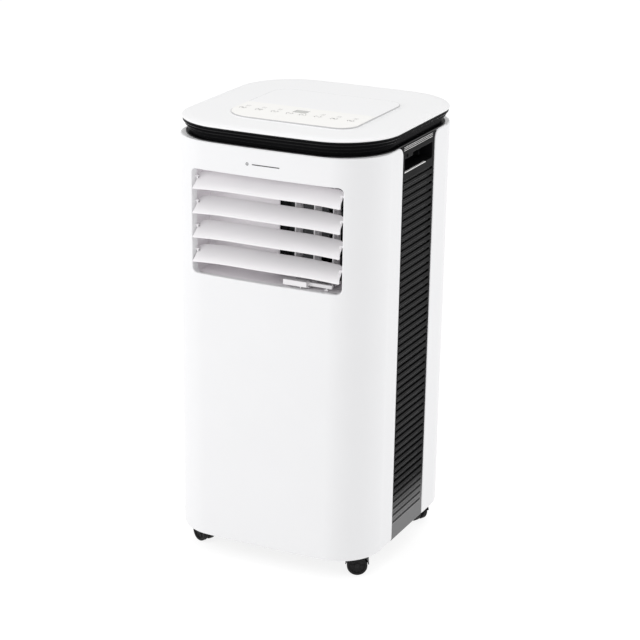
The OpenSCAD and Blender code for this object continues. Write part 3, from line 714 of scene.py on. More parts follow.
def woven(name, thread, gap_color, pitch):
    """Fine net: two crossed sets of threads, in relief."""
    look = Look(name)
    place = look.node("TexCoord", "Object", {})
    waves = []
    for direction in ("X", "Z"):
        wave = look.tree.nodes.new("ShaderNodeTexWave")
        wave.bands_direction = direction
        look.feed(wave, {"Vector": place, "Scale": WAVE_BAND / (pitch * MM)})
        waves.append(wave.outputs["Fac"])
    top = look.combined("MAXIMUM", *waves)
    threads = look.remap(top, 0, 1, 0.55, 0.8)
    look.surface({"Base Color": look.blended((*gap_color, 1), thread, threads),
                  "Roughness": look.remap(threads, 0.9, 0.5, 0, 1),
                  "Normal": look.node("Bump", "Normal", {"Height": top, "Distance": 0.4 * MM})})
    return look.material


filter_net = woven("filter_net", (0.20, 0.21, 0.22), (0.01, 0.01, 0.01), 1.6)


# ---- Housings ----

TOP_R = 15.0
BOTTOM_R = 7.0
SEAL_T = 1.4
HOUSING_Z1 = BODY_Z1 - SEAL_T
SECTION_FLANGE = 22.0
HOLE_FLANGE_T = 1.5
WALL_GRID = (5.0, 24.0)
HOLE_GRID = (4.0, 12.0)
SCREW_X = (-126, 126)
SCREW_Z = (110, 400, 652)


def housing(name, node, side, holes):
    """Half of the cabinet's wall: side is -1 for the front and 1 for the back.

    holes are (loop seen from the front, size of its fillet, depth of its flange).
    """
    s0 = cabinet.side(side * SEAM_Y, right=side > 0)
    s1 = cabinet.side(side * SEAM_Y, right=side < 0)
    outline = rounded(s0, s1, BODY_Z0, HOUSING_Z1, (BOTTOM_R, TOP_R, TOP_R, BOTTOM_R), 10)
    outline = refined(outline, *WALL_GRID)
    heights = [BODY_Z0, BODY_Z0 + BOTTOM_R, HOUSING_Z1 - TOP_R, HOUSING_Z1]
    fillets = np.interp(outline[:, 1], heights, [6.5, 1.3, 1.3, 2.2])
    loops = [(outline, edge(WALL, SECTION_FLANGE), fillets)]
    for points, fillet, flange in holes:
        loop = refined(points, *HOLE_GRID)
        loop[:, 0] = cabinet.across(loop[:, 0], side)
        loops.append((hole(loop), edge(WALL, flange, HOLE_FLANGE_T), fillet))
    shape = Shape()
    skin(shape, on_cabinet, loops, WALL,
         (np.arange(s0, s1, WALL_GRID[0]), np.arange(BODY_Z0, BODY_Z1, WALL_GRID[1])))
    shape.build(name, [shell_white], [node])


def front_housing():
    """Front of the cabinet, with the opening of the air outlet."""
    opening = rounded(-OUTLET_X, OUTLET_X, OUTLET_Z0, OUTLET_Z1, 8)
    housing("front_housing", "front_shell", -1, [(opening, 1.7, 10.0)])


def rear_housing():
    """Back of the cabinet, with holes for the filters, socket, bungs, cord and screws."""
    holes = []
    gap = 0.4
    for name in ("upper_filter_frame", "lower_filter_frame"):
        low, high = box(name)
        loop = rounded(low[0] - gap, high[0] + gap, low[2] - gap, high[2] + gap, 6)
        holes.append((loop, 1.6, 12.0))
    for name, wider, steps, fillet, flange in (("exhaust_collar", gap, 64, 1.0, 10.0),
                                               ("upper_drain_plug", -2.9, 24, 0.6, 0.0),
                                               ("lower_drain_plug", 0.1, 24, 0.6, 0.0),
                                               ("cord_inlet", -1.1, 24, 0.6, 0.0)):
        x, z, r, _, _ = round_node(name)
        holes.append((circle(x, z, r + wider, steps), fillet, flange))
    for x in SCREW_X:
        for z in SCREW_Z:
            holes.append((circle(x, z, 1.9, 12), 0.3, 0.0))
    housing("rear_housing", "rear_shell", 1, holes)


PANEL_INSET = 1.2
PANEL_X = BODY_X - PANEL_INSET
PANEL_Z1 = HOUSING_Z1 - SEAM_GAP
PANEL_WALL = 4.0
LEAN = BODY_X * TAPER
NET_DEPTH = PANEL_WALL + 0.4
NET_T = 0.8
SLOTS = 48
SLOT_Z0 = 66.4
SLOT_PITCH = 11.65
SLOT_H = 4.2
SLOT_Y = 55.0
GRIP_Z0, GRIP_Z1 = 629.5, 654.0
GRIP_Y = 52.0
GRIP_STEP_Y, GRIP_STEP = -22.0, 4.5
GRIP_DEPTH = 30.0
GRIP_SCREW = (-42.5, 653.3)
GLEAM_Z = (662.6, 665.2, 667.6)  # white bars above the grip: painted highlights of the steps there
RIDGE_Y = ((-54, 32), (55.5, 57.2))  # ends of the ridges between the slots


def panel_half_width(z):
    """Half width of a side panel: it fills the space that the housings' round corners leave."""
    over = max(0.0, z - (HOUSING_Z1 - TOP_R))
    return SEAM_Y + min(TOP_R - math.sqrt((TOP_R + SEAM_GAP) ** 2 - over ** 2), 5.0)


def grille_openings():
    """Grip, slots and screw hole of the right panel: (loop, section of its edge, fillet)."""
    grip = softened([(-GRIP_Y, GRIP_Z0), (GRIP_Y, GRIP_Z0), (GRIP_Y, GRIP_Z1),
                     (GRIP_STEP_Y, GRIP_Z1), (GRIP_STEP_Y, GRIP_Z1 - GRIP_STEP),
                     (-GRIP_Y, GRIP_Z1 - GRIP_STEP)], 2.2)
    openings = [(grip, edge(PANEL_WALL, GRIP_DEPTH, 0.9), 0.8)]
    for i in range(SLOTS):
        z = SLOT_Z0 + i * SLOT_PITCH
        slot = rounded(-SLOT_Y, SLOT_Y, z - SLOT_H / 2, z + SLOT_H / 2, SLOT_H / 2 - 0.1, 4)
        openings.append((slot, edge(PANEL_WALL), 1.0))
    openings.append((circle(*GRIP_SCREW, 1.9, 16), edge(PANEL_WALL), 0.4))
    return openings


def grille_bars(shape, side):
    """Back and rib of the grip's cup, the bar at the top, gleams, and ridges between the slots."""
    face = side * PANEL_X
    grip_x = side * (PANEL_X - GRIP_DEPTH)
    block(shape, (grip_x - side * 2, -GRIP_Y - 2, GRIP_Z0 - 2),
          (grip_x + side * 0.5, GRIP_Y + 2, GRIP_Z1 + 2), 0.8)
    block(shape, (grip_x, 13, GRIP_Z1 - 13), (side * (BODY_X - 7), 14.4, GRIP_Z1 + 1), 0.5)
    block(shape, (face - side * 12, -63, PANEL_Z1 - 2.5), (face - side * 2, 63, PANEL_Z1), 0.6)
    for z in GLEAM_Z:
        block(shape, (face - side * 1.2, -56, z), (face + side * 0.8, 50, z + 0.7), 0.3, slot=2)
    # Ridges between the slots, in paler black: a painted highlight.
    for i in range(SLOTS - 1):
        z = SLOT_Z0 + (i + 0.5) * SLOT_PITCH
        ridge_x = side * (PANEL_X - LEAN * BODY_Z1 + LEAN * z)
        for y0, y1 in RIDGE_Y:
            block(shape, (ridge_x - side * 1.0, y0, z - 0.6), (ridge_x + side * 0.5, y1, z + 0.6),
                  0.5, slot=3)
    # White strip on the grip's lower lip: a painted highlight.
    block(shape, (face - side * 3, -GRIP_Y, GRIP_Z0 - 1.4),
          (face + side * 0.5, 26, GRIP_Z0 + 0.2), 0.7, slot=2)


def side_grille(side):
    """Slotted black panel with a hand grip; side is 1 on the right and -1 on the left."""
    name = "right" if side > 0 else "left"
    mirror = (side, 1)
    place = plane((side * (PANEL_X - LEAN * BODY_Z1), 0, 0), (0, side, 0), (side * LEAN, 0, 1))
    z_low = box("side_panel_right")[0][2]
    heights = np.concatenate([[z_low], np.linspace(HOUSING_Z1 - TOP_R, PANEL_Z1, 11)])
    widths = np.array([panel_half_width(z) for z in heights])
    outline = np.vstack([np.column_stack([widths, heights]),
                         np.column_stack([-widths, heights])[::-1]])
    loops = [(wound(refined(outline, 10.0, 30.0) * mirror), edge(PANEL_WALL), 0.5)]
    for loop, section, fillet in grille_openings():
        loops.append((hole(loop * mirror), section, fillet))
    shape = Shape()
    # The rounded edges of the openings take the painted highlight.
    skin(shape, place, loops, PANEL_WALL, edge_slot=1)
    grille_bars(shape, side)
    shape.build("side_grille_" + name, [slat_black, panel_edge_highlight, gleam, ridge_highlight_black],
                ["side_panel_" + name])

    # Dark net sheet behind the slots: a net, and painted shade of the inside.
    net = Shape()
    sheet = refined(rounded(-57, 57, SLOT_Z0 - 6, GRIP_Z0 - 4, 3), 30) * mirror
    skin(net, lambda p, d: place(p, d + NET_DEPTH), [(wound(sheet), edge(NET_T), 0.2)], NET_T)
    net.build("side_net_shade_" + name, [net_shade_black])


COLLAR_STEPS = 4
COLLAR_STEP = 3.4
COLLAR_INSET = 1.5
COLLAR_BORE = 34.0
COLLAR_LIP = 1.2


def neck_ring():
    """Stepped black collar under the lid, and the seal between it and the cabinet."""
    low, high = box("collar_ring")
    height = (high[2] - low[2]) / COLLAR_STEPS
    inset = COLLAR_INSET + (COLLAR_STEPS - 1) * COLLAR_STEP
    bore, lip = COLLAR_BORE, COLLAR_LIP
    walls = []
    ledges = [[(bore, low[2]), (inset + lip, low[2])]]
    for i in range(COLLAR_STEPS):
        z0 = low[2] + i * height
        z1 = z0 + height
        ledges.append([(inset + lip, z0), (inset + 0.4, z0 + 0.35), (inset, z0 + 1.0)])
        walls.append([(inset, z0 + 1.0), (inset, z1 - 1.2)])
        ledges.append([(inset, z1 - 1.2), (inset + 0.4, z1 - 0.4), (inset + lip, z1)])
        under = inset - COLLAR_STEP + lip if i < COLLAR_STEPS - 1 else bore
        walls.append([(inset + lip, z1), (under, z1)])
        inset -= COLLAR_STEP
    walls.append([(bore, high[2]), (bore, low[2])])
    seal = LID_X - BODY_X + 1.6
    seal_z0 = low[2] - SEAL_T
    walls.append([(bore, seal_z0), (seal, seal_z0)])
    ledges.append([(seal, seal_z0), (seal, low[2] - 0.4), (seal + 0.4, low[2])])
    walls.append([(seal + 0.4, low[2]), (bore, low[2])])
    shape = Shape()
    band(shape, lid_plan, walls)
    # The rounded ledges take the painted highlight lines.
    band(shape, lid_plan, ledges, slot=1)
    shape.build("neck_ring", [gloss_black, gloss_edge_highlight], ["collar_ring"])


KEY_R = 6.1
KEY_Y = -72.5
KEY_X = [-89.5, -62.3, -35.7, -10.9, 10.9, 35.7, 62.3, 89.5]
KEY_GAP = 0.3
WINDOW = (-11.4, 11.4, -63.4, -46.6)
ISLAND_R, ISLAND_LEFT_R = 30, 48
OVERLAY_INSET = 1.5


def key_wells():
    """Round holes for the keys and the hole for the display."""
    wells = [hole(circle(x, KEY_Y, KEY_R + KEY_GAP, 40)) for x in KEY_X]
    return wells + [hole(rounded(*WINDOW, 0.8, 3))]


def lid():
    """Thin lid with a rolled rim, and the raised island that holds the controls."""
    shape = Shape()
    outline, _ = lid_plan.at(np.arange(0, lid_plan.length, 5.0))
    t = LID_TOP - LID_Z0
    rim = profile([(14, 0), (12.1, 0.03), (10, 0.25), (6.5, 0.85), (3.2, 1.5), (1.3, 2.1),
                   (0.35, 2.8), (0, 3.5), (0.05, 3.9), (0.5, 4.5), (1.4, 4.9), (2.6, t)],
                  [(2.6, t), (16, t)])
    skin(shape, level(LID_TOP), [(outline, rim, 1.0)], t)
    island = refined(rounded(ISLAND_X0, ISLAND_X1, ISLAND_FRONT, ISLAND_BACK,
                             (ISLAND_R, ISLAND_R, ISLAND_R, ISLAND_LEFT_R), 12), 12.0)
    rise = ISLAND_TOP - LID_TOP
    island_t = rise + 0.3
    side = profile([(1.2, 0), (0.6, 0.1), (0.2, 0.35), (0, 0.8), (0, 1.7)],
                   [(0, 1.7), (-0.3, 2.3), (-1.0, 2.75), (-2.2, 2.97), (-4.0, rise + 0.02),
                    (-4.2, island_t)])
    wells = [(well, edge(island_t), 0.25) for well in key_wells()]
    # The island's sides and the wells' rims take the grey painted shade.
    skin(shape, level(ISLAND_TOP), [(island, side, 1.0), *wells], island_t, edge_slot=1)
    shape.build("lid", [lid_white, island_edge_shade], ["top_lid"])


def key_overlay():
    """Cream film over the front of the island."""
    shape = Shape()
    t = OVERLAY_TOP - ISLAND_TOP
    outline = rounded(ISLAND_X0 + OVERLAY_INSET, ISLAND_X1 - OVERLAY_INSET,
                      ISLAND_FRONT + OVERLAY_INSET, OVERLAY_BACK,
                      (ISLAND_R - OVERLAY_INSET, 1, 1, ISLAND_LEFT_R - OVERLAY_INSET), 12)
    wells = [(well, edge(t), 0.15) for well in key_wells()]
    skin(shape, level(OVERLAY_TOP), [(refined(outline, 12.0), edge(t), 0.4), *wells], t)
    shape.build("key_overlay", [overlay_cream], ["control_panel"])


def display_pane():
    """Grey window over the display."""
    shape = Shape()
    low, high = box("display_window")
    t = high[2] - low[2]
    outline = rounded(low[0], high[0], low[1], high[1], 0.6, 3)
    skin(shape, level(high[2]), [(outline, edge(t), 0.25)], t)
    shape.build("display_pane", [display_grey], ["display_window"])


def stroke(shape, place, points, width, slot=0):
    """Thin raised line through points on a surface."""
    lift, sunk = 0.05, 0.05
    points = np.asarray(points, float)
    tangent = unit(np.gradient(points, axis=0))
    across = np.column_stack([-tangent[:, 1], tangent[:, 0]]) * width / 2
    loop = np.vstack([points - across, (points + across)[::-1]])

    def lifted(p, depth):
        return place(p, depth - lift)
    skin(shape, lifted, [(wound(loop), edge(lift + sunk, steps=1), 0.02)], lift + sunk, slot=slot)


def arc(cx, cy, r, a0, a1, steps=10):
    """Points along an arc between two angles in degrees."""
    a = np.radians(np.linspace(a0, a1, steps + 1))
    return np.column_stack([cx + r * np.cos(a), cy + r * np.sin(a)])


def key_mark(number, x, y):
    """Lines of a plain sign for a key: strokes of dashes, rings, waves and arrows."""
    ring = arc(x, y, 1.7, 0, 340, 16)
    dash = [(x - 1.9, y), (x + 1.9, y)]
    upright = [(x, y - 1.7), (x, y + 1.7)]
    wave = np.column_stack([np.linspace(x - 2.4, x + 2.4, 13),
                            y + 0.8 * np.sin(np.linspace(0, 4 * math.pi, 13))])
    chevron = [(x - 1.8, y - 0.9), (x, y + 0.9), (x + 1.8, y - 0.9)]
    signs = {1: [ring, [(x, y), (x, y + 2.4)]], 2: [wave, wave + (0, 1.8)],
             3: [arc(x + 0.4, y, 1.9, 60, 300)], 4: [dash], 5: [dash, upright],
             6: [chevron], 7: [ring, dash], 8: [arc(x, y, 2.0, 120, 420, 16), upright]}
    return signs[number]


def keys():
    """Key caps with a shallow dish, a sign and a bracket at each side."""
    top = box("key_1")[1][2]
    bottom = ISLAND_TOP - 1.6
    for number, x in enumerate(KEY_X, start=1):
        shape = Shape()
        lathe(shape, [[(0, bottom), (KEY_R - 0.2, bottom)],
                      [(KEY_R - 0.2, bottom), (KEY_R, bottom + 0.3), (KEY_R, top - 0.35),
                       (KEY_R - 0.12, top - 0.1), (KEY_R - 0.45, top), (KEY_R - 1.2, top - 0.03),
                       (3, top - 0.12), (0, top - 0.15)]], origin=(x, KEY_Y, 0))
        place = level(top)
        for line in key_mark(number, x, KEY_Y):
            stroke(shape, place, line, 0.6, slot=1)
        for a in (-62, 118):
            stroke(shape, place, arc(x, KEY_Y, 5.0, a, a + 124, 16), 0.75, slot=1)
        body = f"key_{number}"
        shape.build(f"key_cap_{number}", [key_cream, mark_grey], [body], body)


def overlay_marks():
    """Small lamps behind the outer keys."""
    shape = Shape()
    place = level(OVERLAY_TOP)
    for x in KEY_X[:3] + KEY_X[5:]:
        for dy in (12.5, 17.0):
            stroke(shape, place, [(x - 1.5, KEY_Y + dy), (x + 5.5, KEY_Y + dy)], 0.9)
    shape.build("overlay_marks", [mark_grey])


BADGE_Z = 646.0
BADGE_RISE = 0.3


def front_badge():
    """Plain badge: a dot and a thin bar."""
    shape = Shape()

    def raised(p, depth):
        along = cabinet.across(p[:, 0], -1)
        return on_cabinet(np.column_stack([along, p[:, 1]]), depth - BADGE_RISE)
    bar = refined(rounded(-20, 25, BADGE_Z - 0.75, BADGE_Z + 0.75, 0.7, 4), 3.0)
    skin(shape, raised, [(bar, edge(0.5), 0.2)], 0.5)
    skin(shape, raised, [(circle(-28, BADGE_Z, 2.3, 24), edge(0.5), 0.25),
                         (hole(circle(-28, BADGE_Z, 1.3, 24)), edge(0.5), 0.1)], 0.5)
    shape.build("front_badge", [badge_grey])


# ---- Air outlet ----

DUCT_RIBS = (505, 545, 585)


def outlet_duct():
    """White duct behind the opening: its back is closed on the left and open on the right."""
    shape = Shape()
    low, high = duct_low, duct_high
    depth = high[1] - low[1]
    inner_x = high[0] - DUCT_WALL
    outer = rounded(low[0], high[0], low[2], high[2], 9)
    inner = rounded(-inner_x, inner_x, OUTLET_Z0, OUTLET_Z1, 7)
    wall = rounded(-inner_x - 1, inner_x + 1, OUTLET_Z0 - 1, OUTLET_Z1 + 1, 6)
    mouth = rounded(-4.5, inner_x - 1, OUTLET_Z0 + 3, OUTLET_Z1 - 3, 4)
    for y, t, outline, opening, fillets in ((low[1], depth, outer, inner, (0.3, 0.3)),
                                            (high[1] - 2, 2, wall, mouth, (0.2, 0.6))):
        skin(shape, upright(y), [(refined(outline, 20), edge(t), fillets[0]),
                                 (refined(hole(opening), 20), edge(t), fillets[1])], t)
    for z in DUCT_RIBS:
        block(shape, (-inner_x + 1, high[1] - 9, z), (0, high[1] - 1, z + 1.6), 0.5)
    shape.build("outlet_duct", [duct_white_lightened], ["outlet_frame"])


ARM_END = 120.0
BLADE_END = 122.3
BACK_END = 120.1
TAPER_TO = 0.3  # share of its depth over which a blade narrows from BLADE_END to BACK_END
DROOP = 3.2  # how far the ends of a blade hang below its middle
DROOP_FROM = 50.0
LOUVER_T = 2.2
PIVOT_DEPTH = 16.0
PIVOT_RISE = 14.0
PIN_LENGTH = 8.5
LINK_ARM = 11.0
LINK_ANGLE = math.radians(15)
LOUVER_DEPTH = 26.6
LOUVER_H = 23.1
LOUVER_CURVE = 1.25


def louver_line(t):
    """Cross-section of a louvre at its middle: it slopes back and up from its lip."""
    y = -PIVOT_DEPTH + LOUVER_DEPTH * t ** LOUVER_CURVE
    return np.column_stack([y, LOUVER_H * t ** 0.9 - PIVOT_RISE])


louver_t = np.linspace(0, 1, 400)
louver_steps = np.linalg.norm(np.diff(louver_line(louver_t), axis=0), axis=1)
louver_run = np.concatenate([[0], np.cumsum(louver_steps)])


def louver_blade(number):
    """Curved louvre with its pivot pins, and the arm that the link bar moves."""
    name = f"louver_{number}"
    low, _ = box(name)
    middle = np.array([0, -(BODY_Y + BOW) + PIVOT_DEPTH, low[2] + PIVOT_RISE])

    def place(p, depth):
        t = np.interp(p[:, 1], louver_run, louver_t)
        line = louver_line(t)
        ahead = unit(louver_line(np.clip(t + 0.01, 0, 1)) - louver_line(np.clip(t - 0.01, 0, 1)))
        bowed = BOW * (p[:, 0] / BODY_X) ** 2 * (1 - t ** LOUVER_CURVE)
        end = np.clip((abs(p[:, 0]) - DROOP_FROM) / (BLADE_END - DROOP_FROM), 0, 1)
        x = p[:, 0] * (1 - (1 - BACK_END / BLADE_END) * np.clip(t / TAPER_TO, 0, 1))
        y = line[:, 0] + bowed + ahead[:, 1] * depth
        z = line[:, 1] - ahead[:, 0] * depth - DROOP * end ** 2
        return middle + np.column_stack([x, y, z])

    shape = Shape()
    outline = rounded(-BLADE_END, BLADE_END, 0, louver_run[-1], (3, 10, 8, 1.5), 8)
    skin(shape, place, [(refined(outline, 8.0, 3.0), [bend(math.pi, 8)], LOUVER_T / 2)], LOUVER_T,
         (np.arange(-BLADE_END, BLADE_END, 10.0), np.arange(1.0, louver_run[-1], 2.2)))
    for side in (-1, 1):
        end = side * (ARM_END - 3)
        start = min(end, end + side * PIN_LENGTH)
        rod(shape, 2, 0, PIN_LENGTH, middle + (start, 0, 0), AXES_X)
        block(shape, (end, -2.5, -3), (end + side * 3, 3, 0), 0.6, origin=middle)
    link_y, link_z = LINK_ARM * math.cos(LINK_ANGLE), -LINK_ARM * math.sin(LINK_ANGLE)
    block(shape, (ARM_END - 3, link_y - 3, link_z - 2), (ARM_END, link_y - 0.5, 5.5), 0.6,
          origin=middle)
    lathe(shape, [[(1.2, 0), (1.2, 3.2)], [(1.2, 3.2), (0, 3.2)]],
          middle + (ARM_END - 1, link_y, link_z), AXES_X, steps=16)
    shape.build(f"louver_blade_{number}", [louver_white], [name], name)


VANE_BAR_Y = -160.0


def vane_slider():
    """Bar that ties the vanes together, with a thumb tab to move them by."""
    shape = Shape()
    low, high = box("vane_link")
    y = VANE_BAR_Y
    block(shape, (low[0] + 20, y - 2.5, 470), (high[0], y + 2.5, 475.4), 0.5)
    block(shape, (low[0] + 0.5, y - 10, 468.8), (68, y + 2.5, 477.2), 0.8)
    block(shape, (57, y - 9, 466.2), (58.6, y, 472), 0.5)
    shape.build("vane_slider", [louver_white], ["vane_link"], "vane_link")


# ---- Back ----

FILTER_FACE = 166.0
FILTER_RIM = 7.0
FILTER_RIBS = 5
FILTER_RIB = 2.0
FILTER_T = 3.0


def filter_grid(which):
    """Black frame with a grid of ribs and a tab to pull it by."""
    shape = Shape()
    name = f"{which}_filter_frame"
    low, high = box(name)
    rim, ribs, rib, face = FILTER_RIM, FILTER_RIBS, FILTER_RIB, FILTER_FACE
    x, z0, z1 = high[0], low[2], high[2]
    place = plane((0, face, 0), (-1, 0, 0), (0, 0, 1))
    loops = [(refined(rounded(-x, x, z0, z1, 5.5), 30), edge(FILTER_T, 8.0), 0.8)]
    across = np.linspace(-x, x, ribs + 1)
    upward = np.linspace(z0, z1, ribs + 1)
    for i in range(ribs):
        for j in range(ribs):
            a = -x + rim if i == 0 else across[i] + rib / 2
            b = x - rim if i == ribs - 1 else across[i + 1] - rib / 2
            c = z0 + rim if j == 0 else upward[j] + rib / 2
            d = z1 - rim if j == ribs - 1 else upward[j + 1] - rib / 2
            loops.append((hole(rounded(a, b, c, d, 1.2, 3)), edge(FILTER_T), 0.5))
    skin(shape, place, loops, FILTER_T)
    block(shape, (-18, face - 1, z1 - rim + 1), (18, face + 4, z1 - rim + 4), 1.2)
    for k in range(-5, 6):
        block(shape, (k * 3 - 0.4, face + 3.6, z1 - rim + 1.4),
              (k * 3 + 0.4, face + 4.3, z1 - rim + 3.6), 0.2, steps=1)
    shape.build(f"{which}_filter_grid", [panel_black], [name], f"{which}_filter")


def exhaust_socket():
    """Round socket with a rolled flange and four lugs for the hose."""
    shape = Shape()
    _, z, r, y0, y1 = round_node("exhaust_collar")
    origin = (0, 0, z)
    bore = 65.0
    runs = [[(bore + 3, y0), (bore + 3, y1 - 14)], [(bore + 3, y1 - 14), (r, y1 - 14)],
            [(r, y1 - 14), (r, y1 - 2), (r - 0.6, y1 - 0.7), (r - 2, y1)],
            [(r - 2, y1), (bore + 5, y1)],
            [(bore + 5, y1), (bore + 4.4, y1 - 1.2), (bore + 3, y1 - 1.6)],
            [(bore + 3, y1 - 1.6), (bore + 1.2, y1 - 1.6), (bore + 0.3, y1 - 1.9),
             (bore, y1 - 2.8), (bore, y0 + 1), (bore + 0.6, y0)],
            [(bore + 0.6, y0), (bore + 3, y0)]]
    lathe(shape, runs, origin, AXES_Y, steps=128)
    for lug in (0, 90, 180, 270):
        block(shape, (bore - 2.4, -7, y1 - 11), (bore + 0.6, 7, y1 - 7.5), 0.8,
              AXES_Y @ turned(lug), origin)
    shape.build("exhaust_socket", [panel_black], ["exhaust_collar"])


def drain_bung(which):
    """Rubber bung with a rounded head, a finger tab and a ribbed stem."""
    shape = Shape()
    name = f"{which}_drain_plug"
    x, z, head, y0, y1 = round_node(name)
    y1 -= 3.5
    stem = head - 3
    ribbed = [(stem - 0.8, y0), (stem - 0.1, y0 + 1)]
    for k in range(3):
        ribbed += [(stem, y0 + 2 + 2 * k), (stem - 0.3, y0 + 2.8 + 2 * k)]
    lathe(shape, [[(0, y0), (stem - 0.8, y0)], ribbed + [(stem, y1)], [(stem, y1), (head - 0.6, y1)],
                  [(head - 0.6, y1), (head, y1 + 0.7), (head, y1 + 1.6), (head - 0.5, y1 + 2.4),
                   (head - 1.5, y1 + 2.8), (0, y1 + 3.0)]],
          (x, 0, z), AXES_Y, steps=40)
    block(shape, (x - 1.3, y1 + 2.4, z - 6), (x + 1.3, y1 + 3.5, z + 6), 0.5)
    shape.build(f"{which}_drain_bung", [rubber_black], [name], name)


def cord_sleeve():
    """Rubber sleeve that the mains cord would come through."""
    shape = Shape()
    x, z, r2, y0, y1 = round_node("cord_inlet")
    r0, r1 = 4.0, 7.6
    lathe(shape, [[(r0, y0), (r2, y0)], [(r2, y0), (r2, y0 + 5.6), (r2 - 0.4, y0 + 6)],
                  [(r2 - 0.4, y0 + 6), (r1, y0 + 6)],
                  [(r1, y0 + 6), (r1, y1 - 1), (r1 - 0.3, y1 - 0.3), (r1 - 1, y1)],
                  [(r1 - 1, y1), (r0 + 1.4, y1), (r0 + 0.4, y1 - 0.4), (r0, y1 - 1.4), (r0, y0)]],
          (x, 0, z), AXES_Y, steps=40)
    shape.build("cord_sleeve", [rubber_black], ["cord_inlet"])


def cross_screw(shape, place, radius, height, slot=0):
    """Pan head with a cross recess, seen from outside."""
    arm, half = radius * 0.62, radius * 0.14
    cross = np.array([(half, arm), (-half, arm), (-half, half), (-arm, half), (-arm, -half),
                      (-half, -half), (-half, -arm), (half, -arm), (half, -half), (arm, -half),
                      (arm, half), (half, half)])
    skin(shape, place, [(circle(0, 0, radius, 32), edge(height), height * 0.6),
                        (hole(cross), edge(height, steps=1), 0.06)], height, slot=slot)

    def recess(p, depth):
        return place(p, depth + height * 0.7)
    skin(shape, recess, [(circle(0, 0, arm * 1.1, 16), edge(height * 0.2, steps=1), 0.02)],
         height * 0.2, slot=slot)


def screws():
    """Screws of the rear housing, and one beside each hand grip."""
    shape = Shape()
    low, high = box("housing_screws")
    for x in SCREW_X:
        point, normal = cabinet.at(cabinet.across(np.array([float(x)]), 1))
        out = np.array([*normal[0], 0])
        for z in SCREW_Z:
            middle = np.array([x, point[0, 1] * narrowing(z), z]) + out * 1.5
            place = plane(middle, (-out[1], out[0], 0), (0, 0, 1))
            cross_screw(shape, place, 3.4, 1.8)
    for side in (1, -1):
        x = high[0] if side > 0 else low[0]
        place = plane((x, *GRIP_SCREW), (0, side, 0), (0, 0, 1))
        cross_screw(shape, place, 2.6, 0.8, slot=1)
    shape.build("cross_screws", [screw_steel, gloss_black], ["housing_screws"])


# ---- Casters ----

CASTER_TURN = [155, 25, 205, -25]
WHEEL_R = 16.0
WHEEL_WIDTH = 8.1
WHEEL_FROM_FORK = 2.9
SPOKES = 6


def caster_wheels(number):
    """Two wheels on an axle, with rounded treads and hollow hubs."""
    shape = Shape()
    name = f"caster_wheels_{number}"
    low, high = box(name)
    axle = np.array([*(low + high)[:2] / 2, WHEEL_R])
    across = turned(CASTER_TURN[number - 1]) @ AXES_Y
    rim, h0, h1 = WHEEL_R - 1.4, WHEEL_FROM_FORK, WHEEL_FROM_FORK + WHEEL_WIDTH
    tread = [(rim, h0), (WHEEL_R - 0.5, h0 + 0.3), (WHEEL_R - 0.1, h0 + 1.0)]
    for share in (0.36, 0.64):
        groove = h0 + share * WHEEL_WIDTH
        tread += [(WHEEL_R, groove - 0.6), (WHEEL_R - 0.45, groove - 0.15),
                  (WHEEL_R - 0.45, groove + 0.15), (WHEEL_R, groove + 0.6)]
    tread += [(WHEEL_R - 0.1, h1 - 1.0), (WHEEL_R - 0.5, h1 - 0.3), (rim, h1)]
    wheel = [[(0, h0), (rim, h0)], tread, [(rim, h1), (12.4, h1)],
             [(12.4, h1), (12, h1 - 0.4), (11.6, h1 - 2)], [(11.6, h1 - 2), (4.4, h1 - 2)],
             [(4.4, h1 - 2), (4.2, h1 - 0.6), (3.6, h1 - 0.2), (0, h1 - 0.2)]]
    for side in (1, -1):
        axes = across @ np.diag([1.0, side, side])
        lathe(shape, wheel, axle, axes, steps=56)
        for spoke in range(SPOKES):
            block(shape, (4, -0.9, h1 - 2.6), (12, 0.9, h1 - 0.9), 0.4,
                  axes @ turned(spoke * 360 / SPOKES), axle)
    rod(shape, 2, -9, 9, axle, across)
    shape.build(f"caster_rollers_{number}", [wheel_black], [name], name)


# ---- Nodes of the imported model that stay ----

def keep_node(name, material, bevel):
    """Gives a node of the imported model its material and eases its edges."""
    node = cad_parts[name]
    node.data.materials.clear()
    node.data.materials.append(material)
    node.data.shade_smooth()
    ease = node.modifiers.new("eased_edges", "BEVEL")
    ease.width = bevel * MM
    ease.segments = 2
    ease.limit_method = "ANGLE"
    ease.angle_limit = math.radians(40)
    ease.harden_normals = True
    split = node.modifiers.new("flat_faces", "EDGE_SPLIT")
    split.split_angle = math.radians(35)


KEPT = {
    "base_pan": (panel_black, 0.6), "control_board": (board_green, 0.2),
    "louver_link": (louver_white, 0.3),
    **{f"vane_{number}": (louver_white, 0.4) for number in (1, 2, 3)},
    **{f"{which}_filter_mesh": (filter_net, 0.1) for which in ("upper", "lower")},
    **{f"caster_fork_{number}": (gloss_black, 0.4) for number in (1, 2, 3, 4)},
    "compressor": (paint_black, 2.0), "compressor_grommets": (rubber_black, 0.8),
    "condenser_coil": (fin_aluminium, 0.5), "evaporator_coil": (fin_aluminium, 0.5),
    "drip_tray": (duct_grey, 0.8), "evaporator_blower": (fan_grey, 0.2),
    "evaporator_scroll": (scroll_grey, 0.6), "condenser_blower": (fan_grey, 0.2),
    "condenser_scroll": (scroll_grey, 0.6), "fan_motors": (motor_steel, 0.8),
    "refrigerant_pipes": (pipe_copper, 0.0), "electrics_box": (duct_grey, 1.0),
}


# ---- The object ----

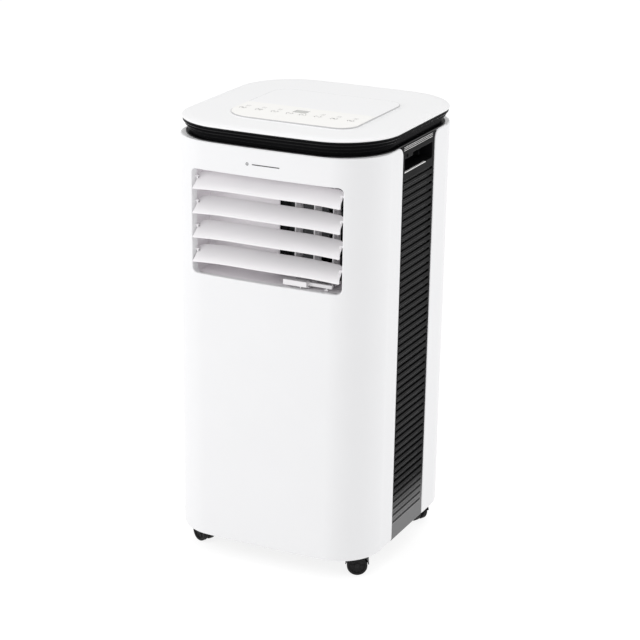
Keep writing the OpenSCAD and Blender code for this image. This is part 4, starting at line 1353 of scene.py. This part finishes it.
front_housing()
rear_housing()
side_grille(1)
side_grille(-1)
neck_ring()
lid()
key_overlay()
display_pane()
keys()
overlay_marks()
front_badge()
outlet_duct()
for number in (1, 2, 3, 4):
    louver_blade(number)
    caster_wheels(number)
vane_slider()
for which in ("upper", "lower"):
    filter_grid(which)
exhaust_socket()
for which in ("upper", "lower"):
    drain_bung(which)
cord_sleeve()
screws()
for name, (material, bevel) in KEPT.items():
    keep_node(name, material, bevel)


# ---- Floor, light and camera ----

def floor():
    """Plain pale floor, with a glow of its own that keeps it white."""
    r = 40.0
    mesh = bpy.data.meshes.new("floor")
    mesh.from_pydata([(-r, -r, 0), (r, -r, 0), (r, r, 0), (-r, r, 0)], [], [(0, 1, 2, 3)])
    look = Look("pale_floor")
    look.surface({"Base Color": (0.25, 0.25, 0.25, 1), "Roughness": 0.9, "Specular IOR Level": 0.1,
                  "Emission Color": (1, 1, 1, 1), "Emission Strength": 0.84})
    mesh.materials.append(look.material)
    piece = add_object("floor", mesh)


AIM = Vector((0, 0, 0.4))


def soft_light(name, place, size, power):
    """Square lamp that points at the middle of the object."""
    data = bpy.data.lights.new(name, "AREA")
    data.shape = "RECTANGLE"
    data.size = size
    data.size_y = size
    data.energy = power
    light = add_object(name, data)
    light.location = place
    light.rotation_euler = (AIM - Vector(place)).to_track_quat("-Z", "Y").to_euler()


def studio():
    """White surroundings and three soft lamps."""
    world = bpy.data.worlds.new("studio")
    world.use_nodes = True
    background = world.node_tree.nodes["Background"]
    background.inputs["Color"].default_value = (1, 1, 1, 1)
    background.inputs["Strength"].default_value = 0.70
    bpy.context.scene.world = world
    soft_light("key_light", (-1.9, -2.1, 1.6), 1.6, 27)
    soft_light("side_light", (2.4, 1.2, 1.2), 1.6, 12)
    soft_light("top_light", (0.2, -0.2, 3.2), 2.4, 28)
    bpy.context.scene.view_settings.view_transform = "Standard"


def camera():
    """Camera at the photograph's viewing angle."""
    place = Vector((1.3771, -2.8526, 1.4320))
    azimuth, elevation, roll = (math.radians(a) for a in (25.609, 18.739, 0.855))
    back = Vector((math.sin(azimuth) * math.cos(elevation),
                   -math.cos(azimuth) * math.cos(elevation), math.sin(elevation)))
    right = Vector((math.cos(azimuth), math.sin(azimuth), 0))
    up = back.cross(right)
    x = right * math.cos(roll) + up * math.sin(roll)
    y = -right * math.sin(roll) + up * math.cos(roll)
    data = bpy.data.cameras.new("camera")
    data.lens = 119.94
    data.sensor_width = 36
    view = add_object("camera", data)
    view.matrix_world = Matrix.Translation(place) @ Matrix((x, y, back)).transposed().to_4x4()
    bpy.context.scene.camera = view


floor()
studio()
camera()
